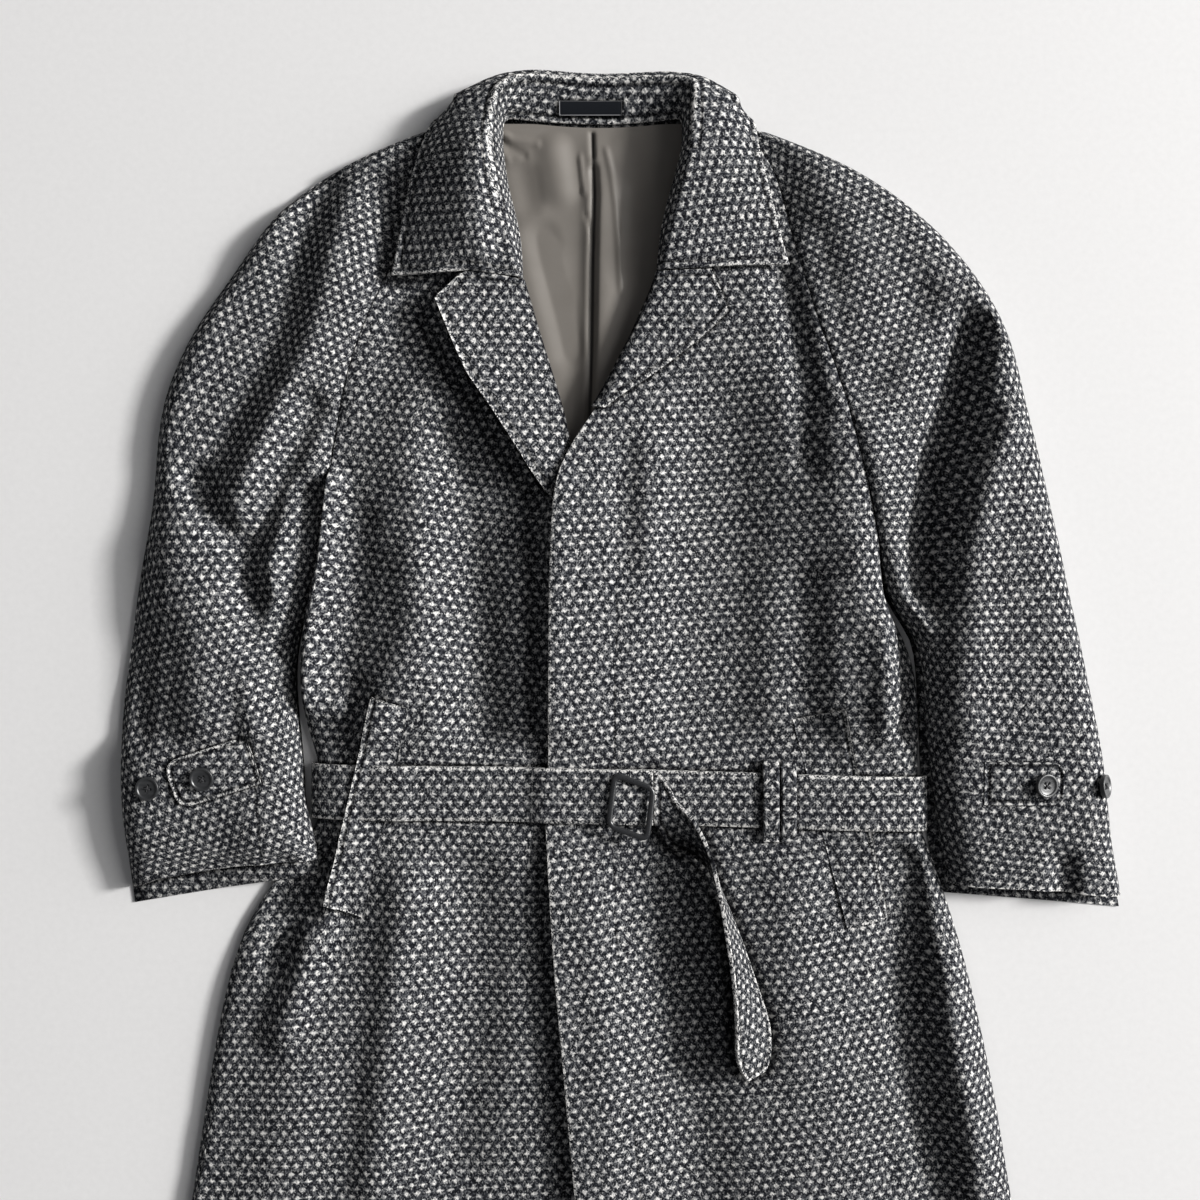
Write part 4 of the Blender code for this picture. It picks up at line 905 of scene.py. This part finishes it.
def place_on(piece, node):
    """Moves a piece that was built flat at the origin to the seat of a solid, and applies the move."""
    points = points_of(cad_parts[node].data)
    centre = points.mean(axis=0)
    normal = np.linalg.svd(points - centre, full_matrices=False)[2][2]
    normal *= math.copysign(1, normal[2])
    seat = Vector(centre + normal * np.min((points - centre) @ normal))
    turn = Vector(normal).to_track_quat("Z", "Y").to_matrix().to_4x4()
    turn = Matrix.Rotation(BUTTON_TILTS.get(node, 0.0), 4, "Y") @ turn
    piece.matrix_world = Matrix.Translation(seat) @ turn
    only(piece)
    bpy.ops.object.transform_apply(location=True, rotation=True, scale=True)


def add_cylinder(radius, length, place, sides, turn=(0, 0, 0)):
    bpy.ops.object.select_all(action="DESELECT")
    bpy.ops.mesh.primitive_cylinder_add(
        vertices=sides, radius=radius * MM, depth=length * MM, location=Vector(place) * MM, rotation=turn,
    )
    piece = bpy.context.object
    bpy.ops.object.transform_apply(location=True, rotation=True, scale=True)
    return piece


def join(pieces):
    bpy.ops.object.select_all(action="DESELECT")
    for piece in pieces:
        piece.select_set(True)
    bpy.context.view_layer.objects.active = pieces[0]
    bpy.ops.object.join()
    return pieces[0]


def button_blank():
    """A round button with a raised rim, a dished middle and four holes, flat at the origin."""
    blank = add_cylinder(BUTTON_RADIUS, BUTTON_HEIGHT, (0, 0, BUTTON_HEIGHT / 2), 64)
    for vertex in blank.data.vertices:
        vertex.select = vertex.co.z > BUTTON_HEIGHT / 2 * MM
    for edge in blank.data.edges:
        edge.select = all(blank.data.vertices[k].select for k in edge.vertices)
    for face in blank.data.polygons:
        face.select = face.normal.z > 0.9
    only(blank)
    bpy.ops.object.mode_set(mode="EDIT")
    bpy.ops.mesh.select_mode(type="FACE")
    for width, rise in BUTTON_INSETS:
        bpy.ops.mesh.inset(thickness=width * MM, depth=rise * MM)
    bpy.ops.object.mode_set(mode="OBJECT")
    sides = (-HOLE_PLACE, HOLE_PLACE)
    corners = [(x, y, BUTTON_HEIGHT / 2) for x in sides for y in sides]
    cutter = join([add_cylinder(HOLE_RADIUS, 3 * BUTTON_HEIGHT, corner, 20) for corner in corners])
    apply_modifier(blank, "BOOLEAN", operation="DIFFERENCE", object=cutter, solver="EXACT")
    bpy.data.objects.remove(cutter, do_unlink=True)
    settings = {"width": BUTTON_BEVEL * MM, "segments": 3, "limit_method": "ANGLE"}
    apply_modifier(blank, "BEVEL", angle_limit=BEVEL_ANGLE, **settings)
    return blank


def thread_blank():
    """Two loops of thread that cross the button's holes."""
    floor = BUTTON_HEIGHT + sum(rise for width, rise in BUTTON_INSETS)
    turns = (math.pi / 4, -math.pi / 4)
    loops = []
    for k, turn in enumerate(turns):
        length = 2.83 * HOLE_PLACE + THREAD_RADIUS
        place = (0, 0, floor + THREAD_RADIUS * (0.6 + 0.8 * k))
        loops.append(add_cylinder(THREAD_RADIUS, length, place, 12, (math.pi / 2, 0, turn)))
    made = join(loops)
    apply_modifier(made, "BEVEL", width=THREAD_BEVEL * MM, segments=2, limit_method="ANGLE")
    return made


def dress(piece, name, finish, node=None):
    """Names a finished piece, gives it its looks and fixes it to the body."""
    piece.name = name
    piece.data.name = name
    piece.data.materials.clear()
    piece.data.materials.append(finish)
    piece.data.shade_smooth()
    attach(piece, BODY)
    if node:
        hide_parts(node)


def make_buttons():
    horn_finish = horn()
    thread_finish = thread()
    button, loops = button_blank(), thread_blank()
    for node in [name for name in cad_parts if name.startswith("button")]:
        for blank, name, finish, seat in (
            (button, f"{node}_horn", horn_finish, node), (loops, f"{node}_thread", thread_finish, None),
        ):
            piece = bpy.data.objects.new(name, blank.data.copy())
            bpy.context.scene.collection.objects.link(piece)
            place_on(piece, node)
            dress(piece, name, finish, seat)
            if blank is button:
                piece.data.set_sharp_from_angle(angle=SHARP_ANGLE)
    for blank in (button, loops):
        bpy.data.objects.remove(blank, do_unlink=True)


def make_buckle():
    piece = copy_of("buckle")
    for edge in piece.data.edges:
        edge.use_seam = False
    piece.data.attributes.remove(piece.data.attributes["crease_edge"])
    apply_modifier(piece, "SUBSURF", levels=2, render_levels=2)
    dress(piece, "buckle_cover", buckle_cover(), "buckle")


def make_stage():
    bpy.ops.object.select_all(action="DESELECT")
    bpy.ops.mesh.primitive_plane_add(size=FLOOR_SIZE, location=(0, 0, FLOOR_LEVEL))
    floor = bpy.context.object
    floor.name = "pale_floor"
    bpy.ops.object.transform_apply(location=True)
    floor.data.materials.append(pale_board())


def add_window(light):
    lamp = bpy.data.lights.new(light.name, "AREA")
    lamp.shape = "SQUARE"
    lamp.size = light.size
    lamp.energy = light.watts
    lamp.color = light.colour
    holder = bpy.data.objects.new(light.name, lamp)
    holder.location = light.place
    aim = Vector(LIGHT_AIM) - holder.location
    holder.rotation_euler = aim.to_track_quat("-Z", "Y").to_euler()
    bpy.context.scene.collection.objects.link(holder)


def make_light():
    for light in LIGHTS:
        add_window(light)
    sky = bpy.data.worlds.new("room")
    sky.use_nodes = True
    room = sky.node_tree.nodes["Background"]
    room.inputs["Color"].default_value = ROOM_COLOUR
    room.inputs["Strength"].default_value = ROOM_STRENGTH
    bpy.context.scene.world = sky
    bpy.context.scene.view_settings.view_transform = "Standard"


def make_camera():
    camera = bpy.data.cameras.new("overhead")
    reach = CAMERA_HEIGHT - CLOTH_LEVEL
    camera.angle = 2 * math.atan(PHOTO_SIDE / 2 / reach)
    camera.clip_end = CAMERA_REACH
    eye = bpy.data.objects.new("overhead", camera)
    eye.location = Vector((*PHOTO_CENTRE, CAMERA_HEIGHT)) * MM
    bpy.context.scene.collection.objects.link(eye)
    bpy.context.scene.camera = eye


def main():
    finishes = {"lining": satin(), "label": label_weave()}
    tweed_finish = tweed()
    pieces = {cloth.node: make_cloth(cloth, finishes.get(cloth.node, tweed_finish)) for cloth in CLOTHS}
    mark_nooks(pieces)
    make_buttons()
    make_buckle()
    make_stage()
    make_light()
    make_camera()


main()
